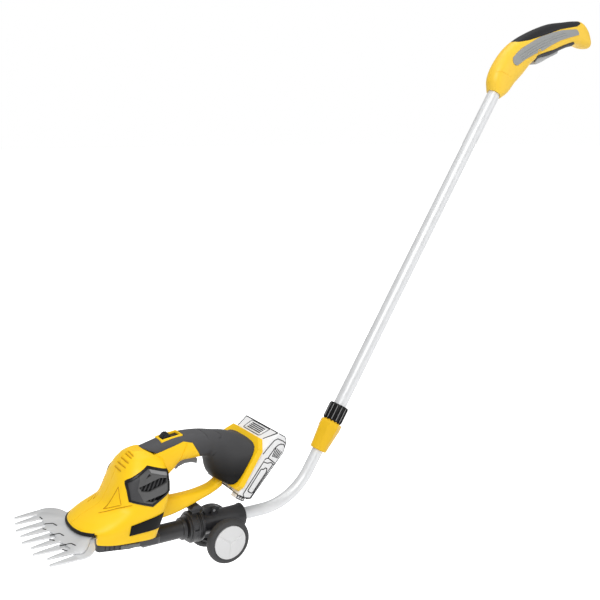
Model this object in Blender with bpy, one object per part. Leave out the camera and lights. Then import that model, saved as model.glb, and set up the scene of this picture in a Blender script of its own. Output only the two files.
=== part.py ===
"""Cordless hedge trimmer head with a grass blade, on a wheeled telescopic pole.

Sizes are in millimetres and are scaled to metres when a mesh is made.
Layout frame: X runs from the blade (-) to the pole (+), -Y is the left side,
Z is the height above the ground, and X = Y = 0 is the wheel axle's middle.
The whole machine is then hung from an empty, so that the world origin is the
middle of the upper hand grip.
"""
import math

import bmesh
import bpy
from mathutils import Matrix, Vector

MM = 0.001
GAP = 0.3               # clear space between pieces that touch
RUN = 0.35              # running clearance between moving pieces
TOOL_REACH = 400.0      # how far a cutting block reaches past the part

# Pole
POLE_ANGLE = 57.0       # degrees above the horizontal
POLE_REF_X = 440.0      # a point on the pole's axis, at the handle's base
POLE_REF_Z = 553.0
UPPER_TUBE_D = 17.0
LOWER_TUBE_D = 14.8
TUBE_WALL = 0.8
BEND_RADIUS = 78.0      # centre line of the lower tube's bend
TUBE_IN_HANDLE = 42.0
TUBE_OVERLAP = 190.0    # lower tube inside the upper tube
TUBE_IN_SLEEVE = 34.0

# Clamp where the tubes slide
COLLAR_BOTTOM_D = 22.0
COLLAR_TOP_D = 27.0
COLLAR_LENGTH = 40.0
COLLAR_HEIGHT = 100.5   # ground to the collar's lower end, on the pole's axis
KNOB_D = 25.5
KNOB_LENGTH = 23.0
KNOB_RIBS = 13
RIB_DEPTH = 1.1
COLLET_WALL = 1.2
COLLET_LENGTH = 16.0

# Wheels and their carrier
WHEEL_D = 54.0
WHEEL_WIDTH = 12.0
WHEEL_TRACK = 48.0      # middle to middle
TYRE_THICK = 6.4
CAP_D = 41.0
CAP_DOME = 2.2
AXLE_D = 6.0
AXLE_BOSS_D = 15.0
SLEEVE_HEIGHT = 43.9    # ground to the sleeve's axis, above the axle
SLEEVE_PITCH = 2.5      # degrees, rear end down
SLEEVE_D = 26.0
SLEEVE_END_D = 28.0
SLEEVE_REAR = 32.0      # sleeve's ends, along its axis from above the axle
SLEEVE_FRONT = -25.0
RING_D = 37.0
RING_FRONT = -43.6
PLUG_D = 21.0
PLUG_FRONT = -98.0
PLUG_REAR = -45.6
SPIGOT_D = 15.0
SPIGOT_REAR = -6.0
GROOVE_DEPTH = 1.4
GROOVE_WIDTH = 5.0
GROOVE_X = -16.0
SWIVEL_BUTTON_X = -32.5
SWIVEL_BUTTON_L = 14.0
SWIVEL_BUTTON_W = 15.0
SWIVEL_BUTTON_TOP = 28.0
LATCH_TOP = 21.0

# Blades
COMB_Z = 80.2           # underside of the fixed comb
BLADE_T = 1.8
TOOTH_PITCH = 30.8
COMB_TEETH = 5
TIP_X = -230.0          # middle tooth's tip
TIP_ARC = 205.0         # radius of the arc through the tips
ROOT_X = -201.0
COMB_HALF = 67.0
COMB_REAR = -112.0
TIP_W = 3.2
PIVOT_X = -150.0
PIVOT_D = 6.0
GEAR_X = -122.0
CRANK = 2.2             # crank pin's distance from the gear's axis
CRANK_D = 4.0
CRANK_CLEAR = 0.7
MODULE = 1.0
GEAR_TEETH = 32
PINION_TEETH = 8
GEAR_T = 5.0
GEAR_Z = 89.0
STUD_D = 6.0
PLATE_Z = 84.5
PLATE_T = 1.8
MOTOR_D = 33.0
MOTOR_L = 42.0
MOTOR_Z = 99.0
MOTOR_SHAFT_D = 3.2

# Head housing
WALL = 2.6
SOLE_PITCH = 9.5        # degrees, rear end down
SOLE_X = -165.0         # the sole's lower front edge
SOLE_Z = 66.0
SOLE_T = 8.5
STRUT_HALF = 9.0
DOCK_ANGLE = 55.5       # degrees: the battery's sliding direction
DOCK_X = 11.3
DOCK_Z = 95.3
DOCK_LENGTH = 60.3
DOCK_HALF = 41.0
DOCK_TOP_HALF = 29.0
DOCK_CHAMFER = 12.0
DOCK_T = 7.0
DOCK_FOOT = 4.0
RAIL_W = 5.0
RAIL_LIP = 3.0
RAIL_H = 7.0
RAIL_Y = 19.0
BATTERY_HALF = 38.0
BATTERY_TOP = 76.0

# Springs, pivots and clearances of the moving pieces
MOTOR_PLATE_T = 2.5
GUARD_REAR = -163.0
CRANK_REST = -68.0      # degrees of gear turn from mid stroke at rest
BLADE_REST = 3.4        # degrees that the moving blade is swung at rest
BLADE_PITCH = 31.5
ROOT_GAP = 2.2
CLIP_R = 5.2
LATCH_PIVOT = (-9.0, 16.5)
LATCH_EAR_Y = 5.6
SWIVEL_POCKET_Z = 10.5
SWIVEL_TRAVEL = 2.5
TRIGGER_SLOT = (-61.0, -24.0)
TRIGGER_HALF = 6.0
TRIGGER_PIVOT = (-55.5, 134.2)
SWITCH_X0 = -60.0
SWITCH_X1 = -44.0
RELEASE_FLOOR = 30.8
RELEASE_INNER = 34.6
HAND_PIVOT = (551.0, 616.0)
HAND_SPRING = (533.0, 0.0, 614.5)
HAND_SPRING_PITCH = -23.3
HAND_OFFSET = (90.0, 0.0, 72.0)     # from the pole's reference point to the hand's middle
SLOPE_TOP = 10.5        # how far the pack's sloped edge leans out from the dock
SLOPE_LOW = DOCK_LENGTH + 1
BUTTON_DEPTH = 7.0      # floor of the release button's pocket below the slope
BUTTON_T = 4.0
BUTTON_PROUD = 0.5

# Outer skin of the body: height, front, rear, half width in front and behind,
# and how square the section is in front and behind
BODY = [
    (46.0, -170.0, -95.0, 42.0, 33.0, 2.3, 6.0),
    (66.0, -177.0, -89.5, 45.0, 37.0, 2.3, 6.0),
    (86.0, -179.5, -81.0, 47.0, 38.5, 2.3, 6.0),
    (90.0, -176.5, -79.7, 45.8, 38.8, 2.3, 6.0),
    (95.0, -168.5, -78.2, 43.5, 39.0, 2.2, 6.0),
    (100.0, -156.0, -76.8, 40.5, 39.0, 2.2, 6.0),
    (103.0, -147.5, -76.0, 39.0, 39.0, 2.3, 6.0),
    (107.0, -142.5, -75.3, 38.2, 38.8, 2.4, 6.0),
    (114.0, -137.5, -74.2, 37.5, 38.5, 2.6, 6.0),
    (124.0, -132.0, -73.0, 36.0, 37.5, 2.8, 5.6),
    (134.0, -127.2, -73.0, 33.2, 35.0, 2.8, 5.0),
    (143.0, -122.0, -75.0, 28.5, 30.0, 2.7, 3.8),
    (151.5, -115.5, -80.5, 20.5, 22.0, 2.5, 3.0),
    (157.0, -109.0, -91.5, 9.0, 11.0, 2.3, 2.3),
]

# Grip from the body to the dock: top point, bottom point, half width, squareness
GRIP = [
    ((-112.0, 150.0), (-88.0, 118.0), 14.0, 2.6),
    ((-98.0, 157.0), (-70.0, 117.0), 14.5, 2.6),
    ((-80.0, 161.0), (-59.0, 124.0), 15.5, 2.6),
    ((-60.0, 164.5), (-51.0, 132.0), 16.0, 2.6),
    ((-40.0, 164.5), (-36.0, 132.5), 16.5, 2.6),
    ((-20.0, 161.8), (-22.5, 132.0), 18.0, 2.6),
    ((-4.0, 158.5), (-17.0, 129.5), 17.0, 2.2),
    ((9.5, 155.5), (-15.5, 121.0), 19.5, 2.1),
    ((19.5, 151.5), (-13.5, 112.0), 25.0, 2.1),
    ((28.5, 147.6), (-8.5, 103.2), 32.0, 2.5),
    ((36.0, 144.2), (2.4, 95.9), 38.0, 4.0),
]
# Lower edge of the dark cover in the side view
COVER_EDGE = [(-103.0, 175.0), (-96.0, 158.0), (-84.0, 150.5), (-49.0, 158.5), (-38.5, 155.0),
              (-27.0, 134.0), (-26.0, 124.0), (-29.0, 112.0), (-14.0, 104.5), (-6.0, 93.0),
              (60.0, 60.0), (90.0, 190.0)]
# Strut under the finger gap: top point and bottom point in the side view
STRUT = [((-92.0, 95.0), (-92.0, 67.0)), ((-62.0, 91.2), (-60.0, 69.0)),
         ((-36.0, 89.9), (-34.0, 75.6)), ((-15.5, 91.8), (-14.0, 81.5)),
         ((-6.0, 95.0), (-3.5, 85.6)), ((0.8, 100.0), (3.2, 88.8))]

# Corners of the vent cover and of the bare name plate in the side view
VENT = [(-124.5, 132.8), (-99.0, 145.5), (-76.2, 137.0), (-76.6, 114.3), (-99.5, 102.6),
        (-124.5, 113.0)]
NAME_PLATE = [(-126.3, 88.6), (-85.8, 91.4), (-91.6, 75.0), (-128.7, 77.9)]

# Side view of the pack in the dock's frame: away from the dock, and up the slide
BATTERY = [(GAP, -8.5), (15.0, -8.5), (19.5, -6.0), (30.3, 58.0), (28.0, 68.0), (25.5, 73.5),
           (21.5, BATTERY_TOP), (SLOPE_TOP, BATTERY_TOP), (GAP, SLOPE_LOW)]
# Outline of the release button across its slope and down it, at the lower and upper end
BUTTON = [(-5.6, -17.0), (5.2, -18.5), (5.2, 18.5), (-5.6, 17.0)]

# Upper handle in the side view: top point, bottom point, half width, squareness
HANDLE = [
    ((428.4, 554.9), (446.4, 543.1), 10.8, 2.0),
    ((427.4, 568.9), (458.5, 550.5), 12.5, 2.4),
    ((435.3, 586.1), (470.0, 563.0), 13.5, 2.6),
    ((452.5, 606.5), (486.0, 576.5), 14.2, 2.6),
    ((472.9, 621.2), (500.0, 590.0), 14.5, 2.6),
    ((495.1, 631.9), (515.0, 598.5), 14.5, 2.6),
    ((520.2, 641.3), (537.0, 603.5), 14.5, 2.6),
    ((542.8, 647.7), (558.0, 611.0), 14.5, 2.6),
    ((566.5, 651.1), (578.0, 617.5), 14.5, 2.6),
    ((588.0, 654.0), (597.0, 620.0), 14.5, 2.6),
    ((602.0, 654.0), (612.0, 617.5), 14.0, 2.6),
    ((611.0, 648.0), (624.0, 617.5), 12.5, 2.6),
    ((617.5, 637.0), (627.0, 621.0), 9.5, 2.6),
]
TOP_GRIP = [(452.0, 680.0), (455.0, 624.0), (472.0, 618.8), (487.8, 621.5), (513.7, 628.5),
            (550.5, 639.5), (586.8, 646.0), (597.0, 650.5), (600.0, 680.0)]
HAND_PANEL = [(456.8, 596.5), (473.3, 610.0), (490.4, 618.5), (508.1, 626.5), (526.0, 632.5),
              (553.7, 638.5), (584.5, 641.5), (590.5, 634.4), (551.4, 624.8), (516.9, 609.8),
              (497.2, 602.9), (464.3, 586.3)]
HAND_SLOT = [(508.0, 585.0), (562.0, 602.0), (562.0, 621.0), (556.0, 626.0), (545.0, 629.0),
             (541.0, 634.0), (518.0, 625.0), (512.0, 612.0), (508.0, 606.0)]

# Colours
YELLOW = (0.90, 0.53, 0.035)
CHARCOAL = (0.085, 0.087, 0.09)
BLACK = (0.02, 0.02, 0.021)
STEEL = (0.62, 0.63, 0.64)
ALLOY = (0.72, 0.73, 0.74)
PALE = (0.86, 0.86, 0.86)
GREY = (0.31, 0.32, 0.32)
COPPER = (0.72, 0.36, 0.18)
GREEN = (0.05, 0.22, 0.10)


def clear_scene():
    """Take every object out of the scene that the file opened with."""
    for obj in list(bpy.data.objects):
        bpy.data.objects.remove(obj, do_unlink=True)


clear_scene()


def material(colour, rough, metal):
    """One Principled material for a node, with the node's own settings."""
    mat = bpy.data.materials.new("finish")
    mat.use_nodes = True
    shader = mat.node_tree.nodes["Principled BSDF"]
    shader.inputs["Base Color"].default_value = (*colour, 1.0)
    shader.inputs["Roughness"].default_value = rough
    shader.inputs["Metallic"].default_value = metal
    mat.diffuse_color = (*colour, 1.0)
    return mat


def empty(name, place=(0, 0, 0), pitch=0.0, parent=None):
    """An empty that carries pieces, turned about Y by pitch degrees."""
    holder = bpy.data.objects.new(name, None)
    holder.location = Vector(place) * MM
    holder.rotation_euler = (0, math.radians(pitch), 0)
    holder.parent = parent
    bpy.context.collection.objects.link(holder)
    return holder


def pole_point(height):
    """The point of the pole's axis at a height above the ground."""
    run = (height - POLE_REF_Z) / math.tan(math.radians(POLE_ANGLE))
    return Vector((POLE_REF_X + run, 0, height))


HAND = pole_point(POLE_REF_Z) + Vector(HAND_OFFSET)
machine = empty("machine", -HAND)
POLE_DIR = Vector((math.cos(math.radians(POLE_ANGLE)), 0,
                   math.sin(math.radians(POLE_ANGLE))))
sleeve_frame = empty("sleeve_frame", (0, 0, SLEEVE_HEIGHT), SLEEVE_PITCH, machine)
clamp_frame = empty("clamp_frame", pole_point(COLLAR_HEIGHT), 90 - POLE_ANGLE, machine)
dock_frame = empty("dock_frame", (DOCK_X, 0, DOCK_Z), 90 - DOCK_ANGLE, machine)
sole_frame = empty("sole_frame", (SOLE_X, 0, SOLE_Z), SOLE_PITCH, machine)
slope_frame = empty("slope_frame", ((GAP + SLOPE_TOP) / 2, 0, (SLOPE_LOW + BATTERY_TOP) / 2),
                    -math.degrees(math.atan2(BATTERY_TOP - SLOPE_LOW, SLOPE_TOP - GAP)), dock_frame)
hand_spring_frame = empty("hand_spring_frame", HAND_SPRING, HAND_SPRING_PITCH, machine)


def shade(obj, angle=35):
    """Smooth shading with sharp edges kept."""
    obj.data.shade_smooth()
    obj.data.set_sharp_from_angle(angle=math.radians(angle))


def node(name, bm, colour, rough=0.5, metal=0.0, parent=machine, origin=(0, 0, 0)):
    """Make a node from a bmesh in millimetres; origin is in the parent's frame."""
    bmesh.ops.recalc_face_normals(bm, faces=bm.faces)
    bmesh.ops.transform(bm, matrix=Matrix.Scale(MM, 4) @ Matrix.Translation(-Vector(origin)),
                        verts=bm.verts)
    mesh = bpy.data.meshes.new(name)
    bm.to_mesh(mesh)
    bm.free()
    obj = bpy.data.objects.new(name, mesh)
    obj.location = Vector(origin) * MM
    obj.parent = parent
    bpy.context.collection.objects.link(obj)
    obj.data.materials.append(material(colour, rough, metal))
    shade(obj)
    return obj


def cutter(bm, parent=machine):
    """A body that only cuts or fills others."""
    obj = node("cutter", bm, GREY, parent=parent)
    obj.hide_render = True
    obj.display_type = "WIRE"
    return obj


def boolean(obj, tool, operation):
    """Add an exact Boolean modifier."""
    mod = obj.modifiers.new(operation.lower(), "BOOLEAN")
    mod.operation = operation
    mod.solver = "EXACT"
    mod.object = tool


def cut(obj, *tools):
    for tool in tools:
        boolean(obj, tool, "DIFFERENCE")


def fuse(obj, *tools):
    for tool in tools:
        boolean(obj, tool, "UNION")


def ring_faces(bm, first, second):
    """Join two rings of vertices with quads."""
    count = len(first)
    for i in range(count):
        j = (i + 1) % count
        bm.faces.new((first[i], first[j], second[j], second[i]))


def loft(rings):
    """A closed body through rings of points, capped at both ends."""
    bm = bmesh.new()
    loops = [[bm.verts.new(p) for p in ring] for ring in rings]
    for first, second in zip(loops, loops[1:]):
        ring_faces(bm, first, second)
    bm.faces.new(list(reversed(loops[0])))
    bm.faces.new(loops[-1])
    return bm


def block(low, high):
    """A box between two corners."""
    (x0, y0, z0), (x1, y1, z1) = low, high
    ends = [[(x, y0, z0), (x, y1, z0), (x, y1, z1), (x, y0, z1)] for x in (x0, x1)]
    return loft(ends)


def side_prism(outline, y0, y1):
    """An outline in X and Z, extruded along Y."""
    return loft([[(x, y, z) for x, z in outline] for y in (y0, y1)])


def plan_prism(outline, z0, z1):
    """An outline in X and Y, extruded along Z."""
    return loft([[(x, y, z) for x, y in outline] for z in (z0, z1)])


def end_prism(outline, x0, x1):
    """An outline in Y and Z, extruded along X."""
    return loft([[(x, y, z) for y, z in outline] for x in (x0, x1)])


def circle(radius, steps, centre=(0.0, 0.0), start=0.0):
    """Points on a circle."""
    turn = 2 * math.pi / steps
    return [(centre[0] + radius * math.cos(start + i * turn),
             centre[1] + radius * math.sin(start + i * turn)) for i in range(steps)]


def spun(profile, axis="Z", steps=20, centre=(0, 0, 0)):
    """Turn a closed profile of (radius, height) pairs about an axis."""
    rings = []
    for i in range(steps):
        a = 2 * math.pi * i / steps
        ring = []
        for r, h in profile:
            u, v = r * math.cos(a), r * math.sin(a)
            point = {"Z": (u, v, h), "X": (h, u, v), "Y": (v, h, u)}[axis]
            ring.append(Vector(point) + Vector(centre))
        rings.append(ring)
    bm = bmesh.new()
    loops = [[bm.verts.new(p) for p in ring] for ring in rings]
    for i, loop in enumerate(loops):
        ring_faces(bm, loop, loops[(i + 1) % steps])
    return bm


def rod(radius, h0, h1, axis="Z", steps=16, centre=(0, 0, 0)):
    """A plain cylinder."""
    ends = []
    for h in (h0, h1):
        ring = []
        for u, v in circle(radius, steps):
            point = {"Z": (u, v, h), "X": (h, u, v), "Y": (v, h, u)}[axis]
            ring.append(Vector(point) + Vector(centre))
        ends.append(ring)
    return loft(ends)


def turned_solid(profile, axis="Z", steps=20, centre=(0, 0, 0)):
    """A solid through circles given as (radius, height) pairs."""
    rings = []
    for r, h in profile:
        ring = []
        for u, v in circle(r, steps):
            point = {"Z": (u, v, h), "X": (h, u, v), "Y": (v, h, u)}[axis]
            ring.append(Vector(point) + Vector(centre))
        rings.append(ring)
    return loft(rings)


def pipe(outer, inner, h0, h1, axis="Z", steps=20, centre=(0, 0, 0)):
    """A tube with straight ends."""
    return spun([(inner, h0), (outer, h0), (outer, h1), (inner, h1)], axis, steps, centre)


def joined(*meshes):
    """Several bmeshes as one, bodies kept separate."""
    whole = bmesh.new()
    for bm in meshes:
        shift = {v: whole.verts.new(v.co) for v in bm.verts}
        for face in bm.faces:
            whole.faces.new([shift[v] for v in face.verts])
        bm.free()
    return whole


def grown(outline, distance):
    """A polygon moved outwards by a distance, with mitred corners."""
    area = sum(a[0] * b[1] - b[0] * a[1] for a, b in zip(outline, outline[1:] + outline[:1]))
    side = 1.0 if area > 0 else -1.0
    result = []
    count = len(outline)
    for i in range(count):
        before, here, after = (Vector(outline[(i + k) % count]) for k in (-1, 0, 1))
        d0 = (here - before).normalized()
        d1 = (after - here).normalized()
        n0 = Vector((d0.y, -d0.x)) * side
        n1 = Vector((d1.y, -d1.x)) * side
        mitre = (n0 + n1).normalized()
        result.append(tuple(here + mitre * distance / max(mitre.dot(n0), 0.3)))
    return result


def super_ring(centre, along, across, half_a, half_c, power=2.6, steps=28):
    """A rounded-square ring in the plane of two unit directions."""
    ring = []
    for i in range(steps):
        t = 2 * math.pi * (i + 0.5) / steps
        c, s = math.cos(t), math.sin(t)
        a = math.copysign(abs(c) ** (2 / power), c) * half_a
        b = math.copysign(abs(s) ** (2 / power), s) * half_c
        ring.append(centre + along * a + across * b)
    return ring


def section_loft(stations, inset=0.0, steps=22):
    """A loft through (top, bottom, half width, squareness) stations of a side view."""
    rings = []
    for top, bottom, half, power in stations:
        t = Vector((top[0], 0, top[1]))
        b = Vector((bottom[0], 0, bottom[1]))
        along = (t - b).normalized()
        reach = (t - b).length / 2 - inset
        rings.append(super_ring((t + b) / 2, along, Vector((0, 1, 0)), reach,
                                half - inset, power, steps))
    return loft(rings)


def tube_path(points, outer, inner, steps=12):
    """A tube swept along points in the X-Z plane."""
    rings = []
    across = Vector((0, 1, 0))
    for i, p in enumerate(points):
        before = points[max(i - 1, 0)]
        after = points[min(i + 1, len(points) - 1)]
        up = (after - before).normalized().cross(across)
        rings.append((p, up))
    bm = bmesh.new()
    shells = []
    for radius in (outer, inner):
        loops = []
        for p, up in rings:
            loops.append([bm.verts.new(p + across * u + up * v)
                          for u, v in circle(radius, steps)])
        for first, second in zip(loops, loops[1:]):
            ring_faces(bm, first, second)
        shells.append(loops)
    for end in (0, -1):
        ring_faces(bm, shells[0][end], shells[1][end])
    return bm


def gear_outline(teeth):
    """A spur gear's outline with straight-sided teeth."""
    root = MODULE * (teeth / 2 - 1.2)
    tip = MODULE * (teeth / 2 + 0.9)
    points = []
    for i in range(teeth):
        a = 2 * math.pi * i / teeth
        step = 2 * math.pi / teeth
        for share, radius in ((-0.30, root), (-0.12, tip), (0.12, tip), (0.30, root)):
            points.append((radius * math.cos(a + share * step),
                           radius * math.sin(a + share * step)))
    return points


def spring(name, coil_d, wire_d, turns, h0, h1, centre, parent=machine, axis="Z"):
    """A coil spring with closed ends, as one unbroken tube."""
    steps = 7
    points = []
    for i in range(turns * steps + 1):
        a = 2 * math.pi * i / steps
        h = h0 + wire_d / 2 + (h1 - h0 - wire_d) * i / (turns * steps)
        u, v = coil_d / 2 * math.cos(a), coil_d / 2 * math.sin(a)
        point = {"Z": (u, v, h), "X": (h, u, v), "Y": (v, h, u)}[axis]
        points.append(Vector(point) + Vector(centre))
    rings = []
    for i, p in enumerate(points):
        ahead = (points[min(i + 1, len(points) - 1)] - points[max(i - 1, 0)]).normalized()
        out = {"Z": Vector((0, 0, 1)), "X": Vector((1, 0, 0)), "Y": Vector((0, 1, 0))}[axis]
        side = ahead.cross(out).normalized()
        lift = side.cross(ahead)
        rings.append([p + side * u + lift * v for u, v in circle(wire_d / 2, 4)])
    return node(name, loft(rings), STEEL, 0.3, 1.0, parent)


def along_pole(height):
    """Distance along the pole from the clamp's lower end to a height."""
    return (height - COLLAR_HEIGHT) / math.sin(math.radians(POLE_ANGLE))


def lower_tube_line():
    """Centre line from the sleeve, round the bend and into the upper tube."""
    pitch = math.radians(SLEEVE_PITCH)
    along = Vector((math.cos(pitch), 0, -math.sin(pitch)))
    start = Vector((0, 0, SLEEVE_HEIGHT))
    apart = pole_point(0) - start
    reach = (apart.cross(POLE_DIR)).y / (along.cross(POLE_DIR)).y
    corner = start + along * reach
    turn = math.radians(POLE_ANGLE + SLEEVE_PITCH)
    tangent = BEND_RADIUS * math.tan(turn / 2)
    first = corner - along * tangent
    centre = first + Vector((math.sin(pitch), 0, math.cos(pitch))) * BEND_RADIUS
    points = [start + along * (SLEEVE_REAR - TUBE_IN_SLEEVE)]
    steps = 10
    for i in range(steps + 1):
        a = turn * i / steps - pitch
        points.append(centre + Vector((math.sin(a), 0, -math.cos(a))) * BEND_RADIUS)
    top = COLLAR_LENGTH + TUBE_OVERLAP
    points.append(pole_point(COLLAR_HEIGHT) + POLE_DIR * top)
    return points


def make_pole():
    """The two tubes and the twist clamp between them."""
    upper, lower = UPPER_TUBE_D / 2, LOWER_TUBE_D / 2
    tube_path_mesh = tube_path(lower_tube_line(), lower, lower - TUBE_WALL)
    node("lower_tube", tube_path_mesh, ALLOY, 0.3, 1.0)
    top = along_pole(POLE_REF_Z) + TUBE_IN_HANDLE
    node("upper_tube", pipe(upper, upper - TUBE_WALL, COLLET_LENGTH + 2, top, steps=24),
         ALLOY, 0.3, 1.0, clamp_frame)
    neck = upper + 2.0
    collar = [(lower + RUN, 0), (COLLAR_BOTTOM_D / 2 - 0.6, 0), (COLLAR_BOTTOM_D / 2, 1.2),
              (COLLAR_BOTTOM_D / 2 + 0.4, 9), (COLLAR_TOP_D / 2 - 0.3, COLLAR_LENGTH - 11),
              (COLLAR_TOP_D / 2, COLLAR_LENGTH - 9), (COLLAR_TOP_D / 2, COLLAR_LENGTH - 1),
              (COLLAR_TOP_D / 2 - 1, COLLAR_LENGTH), (neck, COLLAR_LENGTH),
              (neck, COLLAR_LENGTH + 8), (upper + GAP, COLLAR_LENGTH + 8),
              (upper + GAP, COLLET_LENGTH + 1.5), (lower + GAP + COLLET_WALL + GAP, COLLET_LENGTH + 1.5),
              (lower + GAP + COLLET_WALL + GAP, 1.6), (lower + RUN, 1.6)]
    node("clamp_collar", spun(collar, steps=20), YELLOW, 0.45, 0, clamp_frame)
    make_collet(lower)
    make_knob(neck, upper)


def make_collet(lower):
    """The split ring that grips the lower tube."""
    ring = pipe(lower + GAP + COLLET_WALL, lower + GAP, 1.9, COLLET_LENGTH + 1.2)
    collet = node("clamp_collet", ring, BLACK, 0.5, 0, clamp_frame)
    slit = block((0, -0.8, -1), (30, 0.8, COLLET_LENGTH + 5))
    cut(collet, cutter(slit, clamp_frame))


def make_knob(neck, upper):
    """The ribbed knob that turns on the collar's neck."""
    low = COLLAR_LENGTH + GAP
    outer = KNOB_D / 2
    rings = []
    heights = ((low, outer - 1.3), (low + 1.2, outer), (low + KNOB_LENGTH - 1.5, outer),
               (low + KNOB_LENGTH, outer - 1.6))
    steps = KNOB_RIBS * 4
    for height, radius in heights:
        ring = []
        for i in range(steps):
            a = 2 * math.pi * i / steps
            dip = RIB_DEPTH if i % 4 in (0, 1) else 0.0
            r = radius - dip
            ring.append((r * math.cos(a), r * math.sin(a), height))
        rings.append(ring)
    knob = node("clamp_knob", loft(rings), BLACK, 0.55, 0, clamp_frame)
    bore = turned_solid([(neck + RUN, low - 5), (neck + RUN, low + 8.2), (upper + RUN, low + 8.2),
                         (upper + RUN, low + KNOB_LENGTH + 5)], steps=20)
    cut(knob, cutter(bore, clamp_frame))


def make_carrier():
    """Sleeve, swivel ring and axle boss, one moulding."""
    sleeve, ring, bore = SLEEVE_D / 2, RING_D / 2, SPIGOT_D / 2 + RUN
    profile = [(bore, RING_FRONT), (ring - 2.5, RING_FRONT), (ring - 2.5, RING_FRONT + 2.5),
               (ring, RING_FRONT + 3), (ring, SLEEVE_FRONT - 1.5), (ring - 1, SLEEVE_FRONT),
               (sleeve, SLEEVE_FRONT), (sleeve, SLEEVE_REAR - 4),
               (SLEEVE_END_D / 2, SLEEVE_REAR - 3), (SLEEVE_END_D / 2, SLEEVE_REAR),
               (bore, SLEEVE_REAR)]
    carrier = node("wheel_carrier", spun(profile, "X", 20), CHARCOAL, 0.5, 0, sleeve_frame)
    inner = WHEEL_TRACK / 2 - WHEEL_WIDTH / 2 - RUN
    axle_z = WHEEL_D / 2
    boss = rod(AXLE_BOSS_D / 2, -inner, inner, "Y", 20, (0, 0, axle_z))
    web = side_prism([(-15, SLEEVE_HEIGHT - 4), (-AXLE_BOSS_D / 2, axle_z),
                      (AXLE_BOSS_D / 2, axle_z), (15, SLEEVE_HEIGHT - 4)], -10, 10)
    fuse(carrier, cutter(boss), cutter(web))
    ears = joined(*[side_prism([(LATCH_PIVOT[0] - 3.5, 10), (LATCH_PIVOT[0] + 3.5, 10),
                                (LATCH_PIVOT[0] + 2.5, LATCH_PIVOT[1] + 3),
                                (LATCH_PIVOT[0] - 2.5, LATCH_PIVOT[1] + 3)],
                               y - 1.1, y + 1.1) for y in (-LATCH_EAR_Y, LATCH_EAR_Y)])
    fuse(carrier, cutter(ears, sleeve_frame))
    axle_hole = rod(AXLE_D / 2 + GAP, -40, 40, "Y", 20, (0, 0, axle_z))
    clear = rod(bore, RING_FRONT - 5, SLEEVE_REAR + 5, "X", 24)
    half_x, half_y = SWIVEL_BUTTON_L / 2 - 2 + RUN, SWIVEL_BUTTON_W / 2 - 2 + RUN
    pocket = block((SWIVEL_BUTTON_X - half_x, -half_y, SWIVEL_POCKET_Z),
                   (SWIVEL_BUTTON_X + half_x, half_y, 40))
    slot = block((GROOVE_X - 4.4, -3.6, 0), (GROOVE_X + 4.4, 3.6, 30))
    pin_hole = rod(1.5 + GAP, -20, 20, "Y", 16, (LATCH_PIVOT[0], 0, LATCH_PIVOT[1]))
    cut(carrier, cutter(axle_hole), cutter(clear, sleeve_frame), cutter(pocket, sleeve_frame),
        cutter(slot, sleeve_frame), cutter(pin_hole, sleeve_frame))


def make_swivel_controls():
    """The button that frees the swivel and the latch that holds the plug."""
    x0 = SWIVEL_BUTTON_X - SWIVEL_BUTTON_L / 2
    x1 = SWIVEL_BUTTON_X + SWIVEL_BUTTON_L / 2
    seat = RING_D / 2 + SWIVEL_TRAVEL + 0.6
    head = side_prism([(x0, seat), (x1, seat), (x1, SWIVEL_BUTTON_TOP - 4),
                       (x1 - 3.5, SWIVEL_BUTTON_TOP), (x0 + 4.5, SWIVEL_BUTTON_TOP),
                       (x0, SWIVEL_BUTTON_TOP - 5)], -SWIVEL_BUTTON_W / 2, SWIVEL_BUTTON_W / 2)
    button = node("swivel_button", head, CHARCOAL, 0.45, 0, sleeve_frame)
    stem = block((x0 + 2, 2 - SWIVEL_BUTTON_W / 2, SWIVEL_POCKET_Z + SWIVEL_TRAVEL + 0.5),
                 (x1 - 2, SWIVEL_BUTTON_W / 2 - 2, seat + 1))
    fuse(button, cutter(stem, sleeve_frame))
    well = rod(3.2, SWIVEL_POCKET_Z - 2, seat, "Z", 16, (SWIVEL_BUTTON_X, 0, 0))
    cut(button, cutter(well, sleeve_frame))
    spring("swivel_spring", 4.6, 0.7, 3, SWIVEL_POCKET_Z + GAP, seat - GAP,
           (SWIVEL_BUTTON_X, 0, 0), sleeve_frame)
    px, pz = LATCH_PIVOT
    groove_r = SPIGOT_D / 2 - GROOVE_DEPTH
    nose = GROOVE_X - 1.8
    outline = [(nose, groove_r + 0.5), (nose + 2.6, groove_r + 0.5), (nose + 3.4, 13.6),
               (px + 8.5, 14.4), (px + 9.5, 17.5), (px + 4, 19.6), (px - 3, LATCH_TOP),
               (nose - 1.0, LATCH_TOP - 1.2), (nose - 1.4, 14.5)]
    lever = side_prism([(x - px, z - pz) for x, z in outline], -3.2, 3.2)
    bmesh.ops.translate(lever, vec=(px, 0, pz), verts=lever.verts)
    latch = node("release_latch", lever, CHARCOAL, 0.45, 0, sleeve_frame, (px, 0, pz))
    cut(latch, cutter(rod(1.5 + RUN, -10, 10, "Y", 16, (px, 0, pz)), sleeve_frame))
    reach = LATCH_EAR_Y + 1.6
    node("latch_pin", rod(1.5, -reach, reach, "Y", 14, (px, 0, pz)), STEEL, 0.3, 1, sleeve_frame)


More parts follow.
